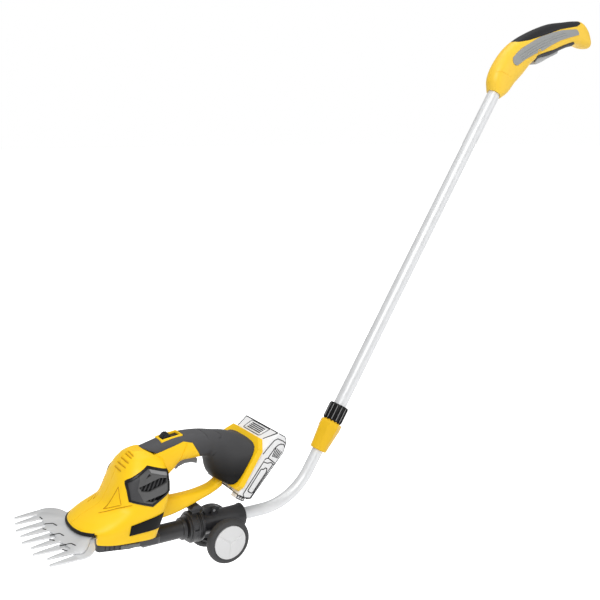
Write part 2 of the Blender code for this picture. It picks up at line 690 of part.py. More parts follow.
def make_plug():
    """The plug that carries the head and turns in the carrier's ring."""
    spigot, plug = SPIGOT_D / 2, PLUG_D / 2
    g0, g1 = GROOVE_X - GROOVE_WIDTH / 2, GROOVE_X + GROOVE_WIDTH / 2
    rings = [(plug, PLUG_FRONT), (plug, PLUG_REAR - 5), (plug + 2.6, PLUG_REAR - 4.5),
             (plug + 2.6, PLUG_REAR), (spigot, PLUG_REAR), (spigot, g0),
             (spigot - GROOVE_DEPTH, g0), (spigot - GROOVE_DEPTH, g1), (spigot, g1),
             (spigot, SPIGOT_REAR - 1), (spigot - 1, SPIGOT_REAR)]
    node("pole_plug", turned_solid(rings, "X", 20), CHARCOAL, 0.45, 0, sleeve_frame)


def make_wheel(side, name):
    """Tyre, hub and domed cap; side is -1 for the left wheel."""
    mid = side * WHEEL_TRACK / 2
    half = WHEEL_WIDTH / 2
    r = WHEEL_D / 2
    axle = (0, mid, r)
    inner = r - TYRE_THICK
    tyre = [(inner, -half), (r - 3.2, -half), (r - 1.1, -half + 1.4), (r, -half + 3.6),
            (r, half - 3.6), (r - 1.1, half - 1.4), (r - 3.2, half), (inner, half)]
    node(f"{name}_tyre", spun(tyre, "Y", 24, axle), BLACK, 0.75, 0, machine, axle)
    hub_r = inner - GAP
    out = [(AXLE_D / 2 + RUN, -half + 0.4), (7, -half + 0.4), (7, -1.5), (hub_r - 2.6, -1.5),
           (hub_r - 2.6, -half + 0.8), (hub_r, -half + 0.8), (hub_r, half - 3.4),
           (hub_r - 2.6, half - 3.4), (hub_r - 2.6, 1.2), (7, 1.2), (7, half - 3.4),
           (AXLE_D / 2 + RUN, half - 3.4)]
    hub = [(rad, side * h) for rad, h in out]
    node(f"{name}_hub", spun(hub, "Y", 16, axle), CHARCOAL, 0.55, 0, machine, axle)
    cap_r = CAP_D / 2 - GAP
    levels = ((cap_r, half - 3.0), (cap_r, half - 0.6), (cap_r * 0.93, half + 0.3),
              (cap_r * 0.6, half + 0.3 + CAP_DOME * 0.6), (cap_r * 0.25, half + 0.3 + CAP_DOME),
              (0.8, half + 0.5 + CAP_DOME))
    dome = turned_solid([(rad, side * h) for rad, h in levels], "Y", 20, axle)
    cap = node(f"{name}_cap", dome, PALE, 0.35, 0, machine, axle)
    low, high = sorted((side * (half - 8), side * (half - 1.2)))
    cut(cap, cutter(rod(CLIP_R + 0.8, low, high, "Y", 16, axle)))


def make_axle():
    """The axle and the clips that keep the wheels on it."""
    z = WHEEL_D / 2
    end = WHEEL_TRACK / 2 + WHEEL_WIDTH / 2 - 1.6
    node("axle", rod(AXLE_D / 2, -end, end, "Y", 20, (0, 0, z)), STEEL, 0.25, 1)
    for side, name in ((-1, "axle_clip_left"), (1, "axle_clip_right")):
        y = side * (end - 0.8)
        node(name, pipe(CLIP_R, AXLE_D / 2 + GAP, y - 0.5, y + 0.5, "Y", 14, (0, 0, z)),
             STEEL, 0.3, 1)


def tip_x(y):
    """Where a tooth's tip lies on the arc through the tips."""
    return TIP_X + TIP_ARC - math.sqrt(TIP_ARC ** 2 - y ** 2)


def toothed_edge(count, pitch, widest, shorter=0.0):
    """Points of the toothed front edge, in the order of rising Y."""
    points = []
    for k in range(count):
        y = (k - (count - 1) / 2) * pitch
        tip = tip_x(y) + shorter
        root = ROOT_X + (tip_x(y) - TIP_X) * 0.55
        half = pitch / 2 - ROOT_GAP
        points += [(root, max(y - half, -widest)), (tip + 12, y - TIP_W), (tip, y - TIP_W / 2),
                   (tip, y + TIP_W / 2), (tip + 12, y + TIP_W), (root, min(y + half, widest))]
    return points


def make_comb():
    """The fixed blade: five pointed teeth on a fan-shaped plate."""
    side = [(-193, COMB_HALF - 1), (-186, COMB_HALF), (-178, COMB_HALF - 3),
            (-172, COMB_HALF - 10), (-168, COMB_HALF - 22), (-164, COMB_HALF - 34),
            (-158, COMB_HALF - 37), (-140, 26), (COMB_REAR, 18)]
    outline = toothed_edge(COMB_TEETH, TOOTH_PITCH, COMB_HALF - 1)
    outline += side + [(x, -y) for x, y in reversed(side)]
    comb = node("fixed_comb", plan_prism(outline, COMB_Z, COMB_Z + BLADE_T), STEEL, 0.3, 1)
    hole = rod(PIVOT_D / 2 + GAP, COMB_Z - 5, COMB_Z + 5, "Z", 24, (PIVOT_X, 0, 0))
    slot = plan_prism([(GEAR_X - 7, -7), (GEAR_X + 7, -7), (GEAR_X + 7, 7), (GEAR_X - 7, 7)],
                      COMB_Z - 5, COMB_Z + 5)
    cut(comb, cutter(hole), cutter(slot))


def turned(points, angle, centre):
    """Plan points turned about a vertical axis."""
    c, s = math.cos(math.radians(angle)), math.sin(math.radians(angle))
    return [(centre + (x - centre) * c - y * s, (x - centre) * s + y * c) for x, y in points]


def make_moving_blade():
    """The swinging blade, one tooth fewer, driven by the crank pin in its slot."""
    side = [(-190, 57), (-182, 52), (-172, 36), (-160, 24), (-140, 14), (GEAR_X + 12, 9)]
    outline = toothed_edge(COMB_TEETH - 1, BLADE_PITCH, COMB_HALF - 7, 2.0)
    outline += side + [(x, -y) for x, y in reversed(side)]
    z0 = COMB_Z + BLADE_T + GAP
    shape = plan_prism(turned(outline, BLADE_REST, PIVOT_X), z0, z0 + BLADE_T)
    blade = node("moving_blade", shape, STEEL, 0.28, 1, machine, (PIVOT_X, 0, z0))
    hole = rod(PIVOT_D / 2 + GAP, z0 - 5, z0 + 5, "Z", 24, (PIVOT_X, 0, 0))
    half = CRANK_D / 2 + CRANK_CLEAR
    reach = CRANK + half + 0.4
    slot = plan_prism(turned([(GEAR_X - reach, -half), (GEAR_X + reach, -half),
                              (GEAR_X + reach, half), (GEAR_X - reach, half)],
                             BLADE_REST, PIVOT_X), z0 - 5, z0 + 5)
    cut(blade, cutter(hole), cutter(slot))


def make_gearbox():
    """Base plate, crank gear on its stud, pinion, motor plate and motor."""
    top = PLATE_Z + PLATE_T
    guard = [(x, y) for x, y in slice_ring(*body_at(top), RUN) if x < GUARD_REAR]
    guard += [(GUARD_REAR, -34), (GUARD_REAR + 4, -33), (-96, -30), (-96, 30),
              (GUARD_REAR + 4, 33), (GUARD_REAR, 34)]
    plate = node("blade_guard", plan_prism(guard, PLATE_Z, top), BLACK, 0.5)
    pivot_hole = rod(PIVOT_D / 2 + GAP, PLATE_Z - 3, top + 3, "Z", 24, (PIVOT_X, 0, 0))
    crank_hole = rod(CRANK + CRANK_D / 2 + CRANK_CLEAR, PLATE_Z - 3, top + 3, "Z", 20,
                     (GEAR_X, 0, 0))
    cut(plate, cutter(pivot_hole), cutter(crank_hole))
    low = COMB_Z - 1.3
    pin = [(5.0, low), (5.0, COMB_Z - GAP), (PIVOT_D / 2, COMB_Z - GAP), (PIVOT_D / 2, top + GAP),
           (5.0, top + GAP), (5.0, top + 1.4)]
    node("pivot_pin", turned_solid(pin, "Z", 14, (PIVOT_X, 0, 0)), STEEL, 0.3, 1)
    gear = plan_prism([(GEAR_X + x, y) for x, y in gear_outline(GEAR_TEETH)], GEAR_Z, GEAR_Z + GEAR_T)
    gear = node("drive_gear", gear, STEEL, 0.35, 1, machine, (GEAR_X, 0, GEAR_Z))
    a = math.radians(180 + CRANK_REST)
    crank = rod(CRANK_D / 2, COMB_Z + BLADE_T + GAP, GEAR_Z + 1, "Z", 20,
                (GEAR_X + CRANK * math.cos(a), CRANK * math.sin(a), 0))
    fuse(gear, cutter(crank))
    cut(gear, cutter(rod(STUD_D / 2 + RUN, GEAR_Z + 1.2, GEAR_Z + 20, "Z", 24, (GEAR_X, 0, 0))))
    node("gear_stud", rod(STUD_D / 2, GEAR_Z + 1.5, MOTOR_Z - MOTOR_PLATE_T - 2 * GAP, "Z", 16,
                          (GEAR_X, 0, 0)), STEEL, 0.3, 1)
    motor_x = GEAR_X + MODULE * (GEAR_TEETH + PINION_TEETH) / 2
    teeth = turned([(motor_x + x, y) for x, y in gear_outline(PINION_TEETH)],
                   180 / PINION_TEETH, motor_x)
    pinion = node("motor_pinion", plan_prism(teeth, GEAR_Z - 0.5, GEAR_Z + GEAR_T + 0.5),
                  STEEL, 0.35, 1, machine, (motor_x, 0, GEAR_Z))
    fuse(pinion, cutter(rod(MOTOR_SHAFT_D / 2, GEAR_Z - 0.5, MOTOR_Z + 8, "Z", 20, (motor_x, 0, 0))))
    zp = MOTOR_Z - MOTOR_PLATE_T - GAP
    mount = plan_prism([(-142, -15), (-134, -26), (-92, -27), (-84, -18), (-84, 18), (-92, 27),
                        (-134, 26), (-142, 15)], zp, MOTOR_Z - GAP)
    mount = node("motor_plate", mount, ALLOY, 0.4, 1)
    cut(mount, cutter(rod(6.0, zp - 3, MOTOR_Z + 3, "Z", 24, (motor_x, 0, 0))))
    can = [(MOTOR_D / 2 - 0.8, MOTOR_Z), (MOTOR_D / 2, MOTOR_Z + 1), (MOTOR_D / 2, MOTOR_Z + MOTOR_L - 8),
           (MOTOR_D / 2 - 1.5, MOTOR_Z + MOTOR_L - 7), (MOTOR_D / 2 - 1.5, MOTOR_Z + MOTOR_L - 1),
           (MOTOR_D / 2 - 2.5, MOTOR_Z + MOTOR_L)]
    motor = node("motor", turned_solid(can, "Z", 18, (motor_x, 0, 0)), STEEL, 0.35, 1)
    cut(motor, cutter(rod(MOTOR_SHAFT_D / 2 + RUN, MOTOR_Z - 2, MOTOR_Z + 9, "Z", 20, (motor_x, 0, 0))))


def slice_ring(x0, x1, half0, half1, nose, square, inset=0.0, steps=24):
    """A plan section of the body: round in front, squarer behind."""
    mid, reach = (x0 + x1) / 2, (x1 - x0) / 2 - inset
    ring = []
    for i in range(steps):
        t = 2 * math.pi * (i + 0.5) / steps
        c, s = math.cos(t), math.sin(t)
        power = square if c > 0 else nose
        x = math.copysign(abs(c) ** (2 / power), c)
        half = half0 + (half1 - half0) * (x + 1) / 2 - inset
        ring.append((mid + reach * x, math.copysign(abs(s) ** (2 / power), s) * half))
    return ring


def body_at(height):
    """The body's section values at a height."""
    for low, high in zip(BODY, BODY[1:]):
        if low[0] <= height <= high[0]:
            share = (height - low[0]) / (high[0] - low[0])
            return [a + (b - a) * share for a, b in zip(low[1:], high[1:])]
    return list(BODY[-1][1:])


def body_solid(inset=0.0):
    """The body's skin, or its cavity when drawn in."""
    rings = []
    for height, *section in BODY:
        if inset and height > BODY[-1][0] - inset - 1:
            continue
        rings.append([(x, y, height) for x, y in slice_ring(*section, inset)])
    return loft(rings)


def sole_cut(extra):
    """Everything below the sole's upper face, as a cutting block."""
    return block((-90, -TOOL_REACH, -TOOL_REACH), (TOOL_REACH, TOOL_REACH, SOLE_T + extra))


def strut_solid(extra):
    """The strut that closes the finger gap from below."""
    rings = []
    for top, bottom in STRUT:
        middle = Vector(((top[0] + bottom[0]) / 2, 0, (top[1] + bottom[1]) / 2))
        up = Vector((top[0] - bottom[0], 0, top[1] - bottom[1])).normalized()
        half = math.dist(top, bottom) / 2 + extra
        rings.append(super_ring(middle, up, Vector((0, 1, 0)), half, STRUT_HALF + extra, 3.0, 18))
    return loft(rings)


def make_housing():
    """The two halves of the yellow housing, a mirrored pair of shells."""
    for side, name in ((-1, "housing_left"), (1, "housing_right")):
        shell = node(name, body_solid(), YELLOW, 0.42)
        fuse(shell, cutter(section_loft(GRIP)))
        cut(shell, cutter(side_prism(grown(COVER_EDGE, GAP), -60, 60)))
        fuse(shell, cutter(strut_solid(0.0)))
        tools = [cutter(body_solid(WALL)), cutter(sole_cut(GAP), sole_frame)]
        tools.append(cutter(block((-TOOL_REACH, -60, 0), (GUARD_REAR + 1, 60, PLATE_Z + PLATE_T + GAP))))
        tools.append(cutter(block((TRIGGER_SLOT[0], -TRIGGER_HALF - 0.6, 112),
                                  (TRIGGER_SLOT[1], TRIGGER_HALF + 0.6, 139))))
        tools.append(cutter(block((SWITCH_X0 - 1, -8, 134), (SWITCH_X1 + 1, 8, 152.5))))
        plug_hole = rod(PLUG_D / 2 + GAP, PLUG_FRONT - 1, 0, "X", 24)
        tools.append(cutter(plug_hole, sleeve_frame))
        tools.append(cutter(vent_prism(0.3, side), machine))
        half = block((-TOOL_REACH, -GAP / 2, -TOOL_REACH), (TOOL_REACH, TOOL_REACH, TOOL_REACH)) \
            if side < 0 else block((-TOOL_REACH, -TOOL_REACH, -TOOL_REACH),
                                   (TOOL_REACH, GAP / 2, TOOL_REACH))
        tools.append(cutter(half))
        cut(shell, *tools)


def vent_prism(extra, side, y0=24.0, y1=60.0):
    """The vent cover's hexagon as a block on one side."""
    low, high = sorted((side * y0, side * y1))
    return side_prism(grown(VENT, extra), low, high)


def make_vent_cover(side, name):
    """The dark vent cover, with three slanted openings."""
    outer = vent_prism(0.0, side, 26.0, 60.0)
    cover = node(name, outer, CHARCOAL, 0.45)
    skin = cutter(body_solid(-1.2))
    boolean(cover, skin, "INTERSECT")
    cut(cover, cutter(body_solid(WALL)))
    slots = []
    for outline in ([(-113.5, 124.0), (-101.0, 121.0), (-84.0, 129.5), (-84.0, 134.0),
                     (-96.0, 136.0), (-108.0, 131.5)],
                    [(-104.0, 138.0), (-99.0, 142.5), (-94.0, 139.0)],
                    [(-106.0, 110.5), (-97.5, 107.5), (-83.5, 117.0)]):
        low, high = sorted((side * 20, side * 60))
        slots.append(cutter(side_prism(outline, low, high)))
    cut(cover, *slots)


def make_name_plate():
    """The bare black plate on the left side."""
    plate = node("name_plate", side_prism(NAME_PLATE, -60, -20), BLACK, 0.35)
    boolean(plate, cutter(body_solid(-GAP - 0.7)), "INTERSECT")
    cut(plate, cutter(body_solid(-GAP)))


def make_cover():
    """The dark soft-touch cover of the grip and the battery foot."""
    cover = node("grip_cover", section_loft(GRIP), CHARCOAL, 0.6)
    boolean(cover, cutter(side_prism(COVER_EDGE, -60, 60)), "INTERSECT")
    cut(cover, cutter(body_solid(-GAP)))
    recess = side_prism([(-74, 158.0), (-46.5, 160.0), (-46.5, 175), (-74, 175)], -9.5, 9.5)
    slot = block((TRIGGER_SLOT[0], -TRIGGER_HALF - 0.6, 112), (TRIGGER_SLOT[1], TRIGGER_HALF + 0.6, 139))
    cut(cover, cutter(strut_solid(GAP)), cutter(recess), cutter(slot))


def make_switches():
    """Safety slider in its bezel, trigger, switch box and springs."""
    frame = side_prism([(-73.7, 158.3), (-46.8, 160.3), (-46.8, 164.9), (-73.7, 162.6)], -9.2, 9.2)
    bezel = node("switch_bezel", frame, YELLOW, 0.42)
    well = side_prism([(-71.5, 160.3), (-49, 162), (-49, 175), (-71.5, 175)], -7, 7)
    cut(bezel, cutter(well))
    slide = side_prism([(-70.0, 160.9), (-60.5, 161.6), (-60.5, 163.5), (-62.5, 167.2),
                        (-66.0, 167.4), (-70.0, 163.6)], -6.0, 6.0)
    node("safety_slider", slide, BLACK, 0.5, 0, machine, (-65, 0, 162))
    pivot = TRIGGER_PIVOT
    shape = side_prism([(-57.5, 134.5), (-58.5, 130.0), (-55.5, 123.5), (-52.0, 126.2),
                        (-44.0, 128.2), (-36.0, 127.6), (-29.0, 124.8), (-28.0, 129.5),
                        (-30.5, 134.0), (-50.0, 136.0), (-55.0, 138.0)], -TRIGGER_HALF, TRIGGER_HALF)
    trigger = node("head_trigger", shape, GREY, 0.5, 0, machine, (pivot[0], 0, pivot[1]))
    cut(trigger, cutter(rod(1.2 + RUN, -20, 20, "Y", 16, (pivot[0], 0, pivot[1]))))
    reach = TRIGGER_HALF + 0.3
    node("trigger_pin", rod(1.2, -reach, reach, "Y", 14, (pivot[0], 0, pivot[1])), STEEL, 0.3, 1)
    box = block((SWITCH_X0, -5.5, 138.8), (SWITCH_X1, 5.5, 151.8))
    node("trigger_switch", box, BLACK, 0.5)
    spring("head_trigger_spring", 5.0, 0.7, 2, 135.1, 139.0 - GAP, (-38, 0, 0))



def make_sole():
    """The dark sole under the body, with a raised seat for the comb."""
    outline = [(2, -33), (4, -36), (40, -36.5), (44, -35), (74, -33), (78, -28), (78, 28),
               (74, 33), (44, 35), (40, 36.5), (4, 36), (2, 33)]
    sole = node("sole_plate", plan_prism(outline, 0, SOLE_T), CHARCOAL, 0.55, 0, sole_frame)
    seat = plan_prism([(-162, -32), (-162, 32), (-150, 33), (-112, 31), (-112, -31), (-150, -33)],
                      58, COMB_Z - GAP)
    pin_room = rod(6.0, COMB_Z - 3, COMB_Z + 3, "Z", 20, (PIVOT_X, 0, 0))
    crank_room = rod(7.0, COMB_Z - 4, COMB_Z + 3, "Z", 20, (GEAR_X, 0, 0))
    plug_room = rod(PLUG_D / 2 + GAP, PLUG_FRONT - 1, 0, "X", 24)
    fuse(sole, cutter(seat))
    under = block((-30, -60, -60), (120, 60, 0))
    pads = [block((27, min(side * RELEASE_FLOOR, side * 40), 1.5),
                  (50, max(side * RELEASE_FLOOR, side * 40), 7.0)) for side in (-1, 1)]
    cut(sole, cutter(under, sole_frame), cutter(pin_room), cutter(crank_room),
        cutter(plug_room, sleeve_frame), cutter(joined(*pads), sole_frame))
    for side, name in ((-1, "blade_release_left"), (1, "blade_release_right")):
        low, high = sorted((side * RELEASE_INNER, side * 38.4))
        pad = block((27.5, low, 2.0), (49.5, high, 6.5))
        node(name, pad, GREY, 0.5, 0, sole_frame)
        low, high = sorted((side * (RELEASE_FLOOR + GAP), side * (RELEASE_INNER - GAP)))
        spring(name + "_spring", 3.2, 0.5, 2, low, high, (38.5, 0, 4.25), sole_frame, "Y")


def make_dock():
    """The yellow dock plate behind the foot, with the battery's rails."""
    outline = dock_outline(0.0)
    plate = end_prism(outline, -DOCK_T, 0)
    dock = node("battery_dock", plate, YELLOW, 0.42, 0, dock_frame)
    rails = []
    for side in (-1, 1):
        y0 = side * RAIL_Y
        web = [(y0 - RAIL_W / 2, 4), (y0 + RAIL_W / 2, 4), (y0 + RAIL_W / 2, DOCK_LENGTH - 14),
               (y0 - RAIL_W / 2, DOCK_LENGTH - 14)]
        lip = [(y0 - RAIL_W / 2 - RAIL_LIP, 4), (y0 + RAIL_W / 2 + RAIL_LIP, 4),
               (y0 + RAIL_W / 2 + RAIL_LIP, DOCK_LENGTH - 14),
               (y0 - RAIL_W / 2 - RAIL_LIP, DOCK_LENGTH - 14)]
        rails.append(end_prism(web, -1, RAIL_H))
        rails.append(end_prism(lip, RAIL_H - 2.5, RAIL_H))
    for rail in rails:
        fuse(dock, cutter(rail, dock_frame))


def dock_outline(inset):
    """The dock's outline across the part and up the sliding direction."""
    half, top = DOCK_HALF - inset, DOCK_LENGTH - inset
    shoulder = DOCK_TOP_HALF - inset * 0.6
    low = -DOCK_FOOT + inset
    return [(-half + 5, low), (half - 5, low), (half, low + 6), (half, top - DOCK_CHAMFER),
            (shoulder, top), (-shoulder, top), (-half, top - DOCK_CHAMFER), (-half, low + 6)]


def beyond(a, b, c, side):
    """A block on the outer side of the plane through three points."""
    normal = (b - a).cross(c - a).normalized() * -side
    along = (b - a).normalized() * 60
    across = normal.cross(along)
    middle = (a + b + c) / 3
    near = [middle + along + across, middle - along + across, middle - along - across,
            middle + along - across]
    return loft([near, [point + normal * 60 for point in near]])


def make_battery():
    """The slide-on pack, with its rail grooves, latch and contacts."""
    pack = side_prism(BATTERY, -BATTERY_HALF, BATTERY_HALF)
    case = node("battery_case", pack, PALE, 0.5, 0, dock_frame)
    corners = []
    for side in (-1, 1):
        corners.append(beyond(Vector((GAP, side * DOCK_TOP_HALF, SLOPE_LOW)),
                              Vector((GAP, side * BATTERY_HALF, SLOPE_LOW - DOCK_CHAMFER)),
                              Vector((SLOPE_TOP + 1, side * BATTERY_HALF, BATTERY_TOP)), side))
    cut(case, *[cutter(corner, dock_frame) for corner in corners])
    groove = []
    for side in (-1, 1):
        y0 = side * RAIL_Y
        w = RAIL_W / 2 + RUN
        lip = w + RAIL_LIP
        end = DOCK_LENGTH - 14 + RUN + 0.2
        groove.append(end_prism([(y0 - w, -30), (y0 + w, -30), (y0 + w, end), (y0 - w, end)], -2, RAIL_H))
        groove.append(end_prism([(y0 - lip, -30), (y0 + lip, -30), (y0 + lip, end), (y0 - lip, end)],
                                RAIL_H - 2.5 - RUN, RAIL_H + RUN))
    contact_room = end_prism([(-12, -30), (12, -30), (12, 40), (-12, 40)], -2, 6)
    button_room = plan_prism(grown(BUTTON, RUN), -BUTTON_DEPTH, TOOL_REACH)
    cut(case, *[cutter(g, dock_frame) for g in groove], cutter(button_room, slope_frame),
        cutter(contact_room, dock_frame))
    low = BUTTON_PROUD - BUTTON_T
    node("battery_button", plan_prism(BUTTON, low, BUTTON_PROUD), GREY, 0.5, 0, slope_frame)
    spring("button_spring", 6.0, 0.8, 2, GAP - BUTTON_DEPTH, low - GAP, (0, 0, 0), slope_frame)
    terminals = node("dock_terminals", end_prism([(-11, 9), (11, 9), (11, 37), (-11, 37)], GAP, 1.8),
                     COPPER, 0.3, 1, dock_frame)
    blades = [end_prism([(y - 0.8, 12), (y + 0.8, 12), (y + 0.8, 34), (y - 0.8, 34)], 1.0, 5.2)
              for y in (-9, -3, 3, 9)]
    fuse(terminals, cutter(joined(*blades), dock_frame))


def make_handle():
    """The upper handle: two shells, the dark top grip, side panels and trigger."""
    for side, name in ((-1, "handle_left"), (1, "handle_right")):
        shell = node(name, section_loft(HANDLE), YELLOW, 0.42)
        far = TOOL_REACH * 3
        half = block((-far, -GAP / 2, -far), (far, far, far)) if side < 0 \
            else block((-far, -far, -far), (far, GAP / 2, far))
        tube_hole = rod(UPPER_TUBE_D / 2 + GAP, -50, along_pole(POLE_REF_Z) + TUBE_IN_HANDLE + 0.5,
                        "Z", 24)
        slot = side_prism(HAND_SLOT, -6.6, 6.6)
        cut(shell, cutter(half), cutter(tube_hole, clamp_frame), cutter(slot),
            cutter(side_prism(grown(TOP_GRIP, GAP), -40, 40)))
    grip = node("top_grip", section_loft(HANDLE, inset=-0.5), CHARCOAL, 0.65)
    boolean(grip, cutter(side_prism(TOP_GRIP, -40, 40)), "INTERSECT")
    for side, name in ((-1, "handle_panel_left"), (1, "handle_panel_right")):
        low, high = sorted((side * 5, side * 40))
        panel = node(name, side_prism(HAND_PANEL, low, high), GREY, 0.45)
        boolean(panel, cutter(section_loft(HANDLE, inset=-GAP - 0.8)), "INTERSECT")
        cut(panel, cutter(section_loft(HANDLE, inset=-GAP)),
            cutter(side_prism(grown(TOP_GRIP, GAP), -40, 40)))
    spring("handle_trigger_spring", 5.0, 0.7, 2, GAP, 6.3, (0, 0, 0), hand_spring_frame)
    pivot = HAND_PIVOT
    shape = side_prism([(521.0, 606.0), (516.5, 601.5), (513.5, 594.5), (517.0, 592.5),
                        (528.0, 598.5), (541.0, 603.5), (553.0, 608.0), (558.0, 612.0),
                        (556.0, 619.5), (548.0, 621.0), (526.0, 611.5)], -6, 6)
    trigger = node("handle_trigger", shape, GREY, 0.5, 0, machine, (pivot[0], 0, pivot[1]))
    cut(trigger, cutter(rod(1.2 + RUN, -20, 20, "Y", 16, (pivot[0], 0, pivot[1]))))
    node("handle_trigger_pin", rod(1.2, -6.3, 6.3, "Y", 14, (pivot[0], 0, pivot[1])), STEEL, 0.3, 1)
    node("handle_switch", side_prism([(523.0, 617.5), (543.0, 626.0), (540.5, 632.0), (520.5, 623.5)],
                                     -5, 5), BLACK, 0.5)


make_pole()
make_carrier()
make_swivel_controls()
make_plug()
make_wheel(-1, "left")
make_wheel(1, "right")
make_axle()
make_comb()
make_moving_blade()
make_gearbox()
make_housing()
make_vent_cover(-1, "vent_cover_left")
make_vent_cover(1, "vent_cover_right")
make_name_plate()
make_cover()
make_switches()
make_sole()
make_dock()
make_battery()
make_handle()
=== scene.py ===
# %% [markdown]
# # A cordless trimmer head on a wheeled telescopic pole
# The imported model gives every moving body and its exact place. This file dresses
# it: each visible piece gets a finer surface, worked out with numpy from the same
# sizes, and a finish made of shader nodes.

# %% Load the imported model
import bmesh
import bpy
import math
import numpy as np
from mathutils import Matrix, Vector
from mathutils.bvhtree import BVHTree


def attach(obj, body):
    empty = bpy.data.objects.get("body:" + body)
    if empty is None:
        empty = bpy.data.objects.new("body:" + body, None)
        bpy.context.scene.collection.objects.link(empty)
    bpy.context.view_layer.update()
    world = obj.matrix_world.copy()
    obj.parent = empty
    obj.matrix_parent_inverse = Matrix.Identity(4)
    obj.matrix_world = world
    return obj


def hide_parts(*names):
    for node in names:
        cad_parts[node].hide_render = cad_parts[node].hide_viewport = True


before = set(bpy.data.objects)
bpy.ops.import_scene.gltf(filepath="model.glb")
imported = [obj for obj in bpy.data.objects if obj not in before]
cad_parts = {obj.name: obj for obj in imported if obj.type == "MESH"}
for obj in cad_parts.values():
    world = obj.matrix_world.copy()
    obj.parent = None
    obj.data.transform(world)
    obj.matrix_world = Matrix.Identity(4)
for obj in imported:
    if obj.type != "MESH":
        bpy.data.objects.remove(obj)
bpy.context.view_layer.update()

# %% [markdown]
# ## Sizes and places
# The model is laid out in millimetres: X runs from the blade to the pole, -Y is
# the near side and Z is the height above the ground. The model's own origin is in
# the hand's grip, so each point is moved there and scaled to metres at the end.
# Tilted parts are laid out in frames of their own: an origin and a pitch in degrees.

# %% Layout and tilted frames
HAND = np.array((530.0, 0.0, 625.0))
GROUND = -0.625
SIDES = ((-1, "left"), (1, "right"))


def metres(points):
    """Layout millimetres to the model's metres: subtract the hand's place, divide by 1000."""
    return (np.asarray(points, float) - HAND) * 0.001


def tilted(points, origin, pitch):
    """Turn points about Y by pitch degrees, then move them to the origin."""
    p = np.asarray(points, float)
    a = math.radians(pitch)
    x = p[..., 0] * math.cos(a) + p[..., 2] * math.sin(a) + origin[0]
    z = -p[..., 0] * math.sin(a) + p[..., 2] * math.cos(a) + origin[2]
    return np.stack([x, p[..., 1] + origin[1], z], -1)


LEVEL = ((0.0, 0.0, 0.0), 0.0)
GAP, SLEEVE_PITCH = 0.3, 2.5
SLEEVE = ((0.0, 0.0, 43.9), SLEEVE_PITCH)
SOLE = ((-165.0, 0.0, 66.0), 9.5)
DOCK = ((11.3, 0.0, 95.3), 34.5)
POLE_ANGLE = 57.0
CLAMP = ((440.0 - (553.0 - 100.5) / math.tan(math.radians(POLE_ANGLE)), 0.0, 100.5), 90 - POLE_ANGLE)
print("clamp starts at", CLAMP[0])

# %% [markdown]
# ## Surfaces from arrays
# A lofted surface is a grid of points: one ring per row. The faces of a grid are
# the same whatever its shape, so they are worked out once as an array of corner
# numbers. Flat ends close the grid.

# %% Grid and loft
def quads(rows, cols, wrap_rows=False):
    """Four corner numbers for each cell of a grid whose columns close on themselves."""
    r, c = np.meshgrid(np.arange(rows if wrap_rows else rows - 1), np.arange(cols), indexing="ij")
    r2, c2 = (r + 1) % rows, (c + 1) % cols
    return np.stack([r * cols + c, r * cols + c2, r2 * cols + c2, r2 * cols + c], -1).reshape(-1, 4)


def mesh_of(name, points, faces):
    """A mesh from layout points, with its faces turned outwards."""
    mesh = bpy.data.meshes.new(name)
    mesh.from_pydata(metres(points).tolist(), [], faces)
    mesh.validate()
    bm = bmesh.new()
    bm.from_mesh(mesh)
    bmesh.ops.recalc_face_normals(bm, faces=bm.faces)
    bm.to_mesh(mesh)
    bm.free()
    return mesh


def loft(name, rings, closed=False):
    """A closed body through rings of points: a grid with two flat ends, or a full ring."""
    rings = np.asarray(rings, float)
    rows, cols = rings.shape[:2]
    faces = quads(rows, cols, closed).tolist()
    if not closed:
        faces += [list(range(cols))[::-1], list(range((rows - 1) * cols, rows * cols))]
    return mesh_of(name, rings.reshape(-1, 3), faces)


print("three rings of four points make", len(quads(3, 4)), "cells")


# %% Outlines pushed through
def prism(name, outline, low, high, across="Z", place=LEVEL):
    """An outline pushed through from low to high along the across axis."""
    flat = np.asarray(outline, float)
    level = np.array([low, high], float)[:, None] * np.ones(len(flat))
    a = np.broadcast_to(flat[:, 0], level.shape)
    b = np.broadcast_to(flat[:, 1], level.shape)
    order = {"Z": (a, b, level), "Y": (a, level, b), "X": (level, a, b)}[across]
    return loft(name, tilted(np.stack(order, -1), *place))


def block(name, low, high, place=LEVEL):
    """A rectangular block between two corners."""
    (x0, y0, z0), (x1, y1, z1) = low, high
    return prism(name, [(x0, y0), (x1, y0), (x1, y1), (x0, y1)], z0, z1, "Z", place)


def sided(name, outline, side, near=24, far=60):
    """A side-view outline pushed through one side only, from near to far of the middle."""
    low, high = sorted((side * near, side * far))
    return prism(name, outline, low, high, "Y")


def across(name, outline, half=40):
    """A side-view outline pushed through both sides alike."""
    return prism(name, outline, -half, half, "Y")


print("outlines can be pushed as a prism, a block, to one side or across")


# %% Turned bodies and smooth tables
def smooth_rows(table, count):
    """Values carried smoothly through the table's rows, a Catmull-Rom curve in each column."""
    table = np.asarray(table, float)
    t = np.linspace(0, len(table) - 1, count)
    i = np.clip(t.astype(int), 0, len(table) - 2)
    f = (t - i)[:, None]
    p0, p1 = table[np.maximum(i - 1, 0)], table[i]
    p2, p3 = table[i + 1], table[np.minimum(i + 2, len(table) - 1)]
    return 0.5 * (2 * p1 + (p2 - p0) * f + (2 * p0 - 5 * p1 + 4 * p2 - p3) * f ** 2
                  + (3 * p1 - p0 - 3 * p2 + p3) * f ** 3)


def circle(steps):
    """Angles spread evenly round a full turn."""
    return np.linspace(0, 2 * np.pi, steps, endpoint=False)


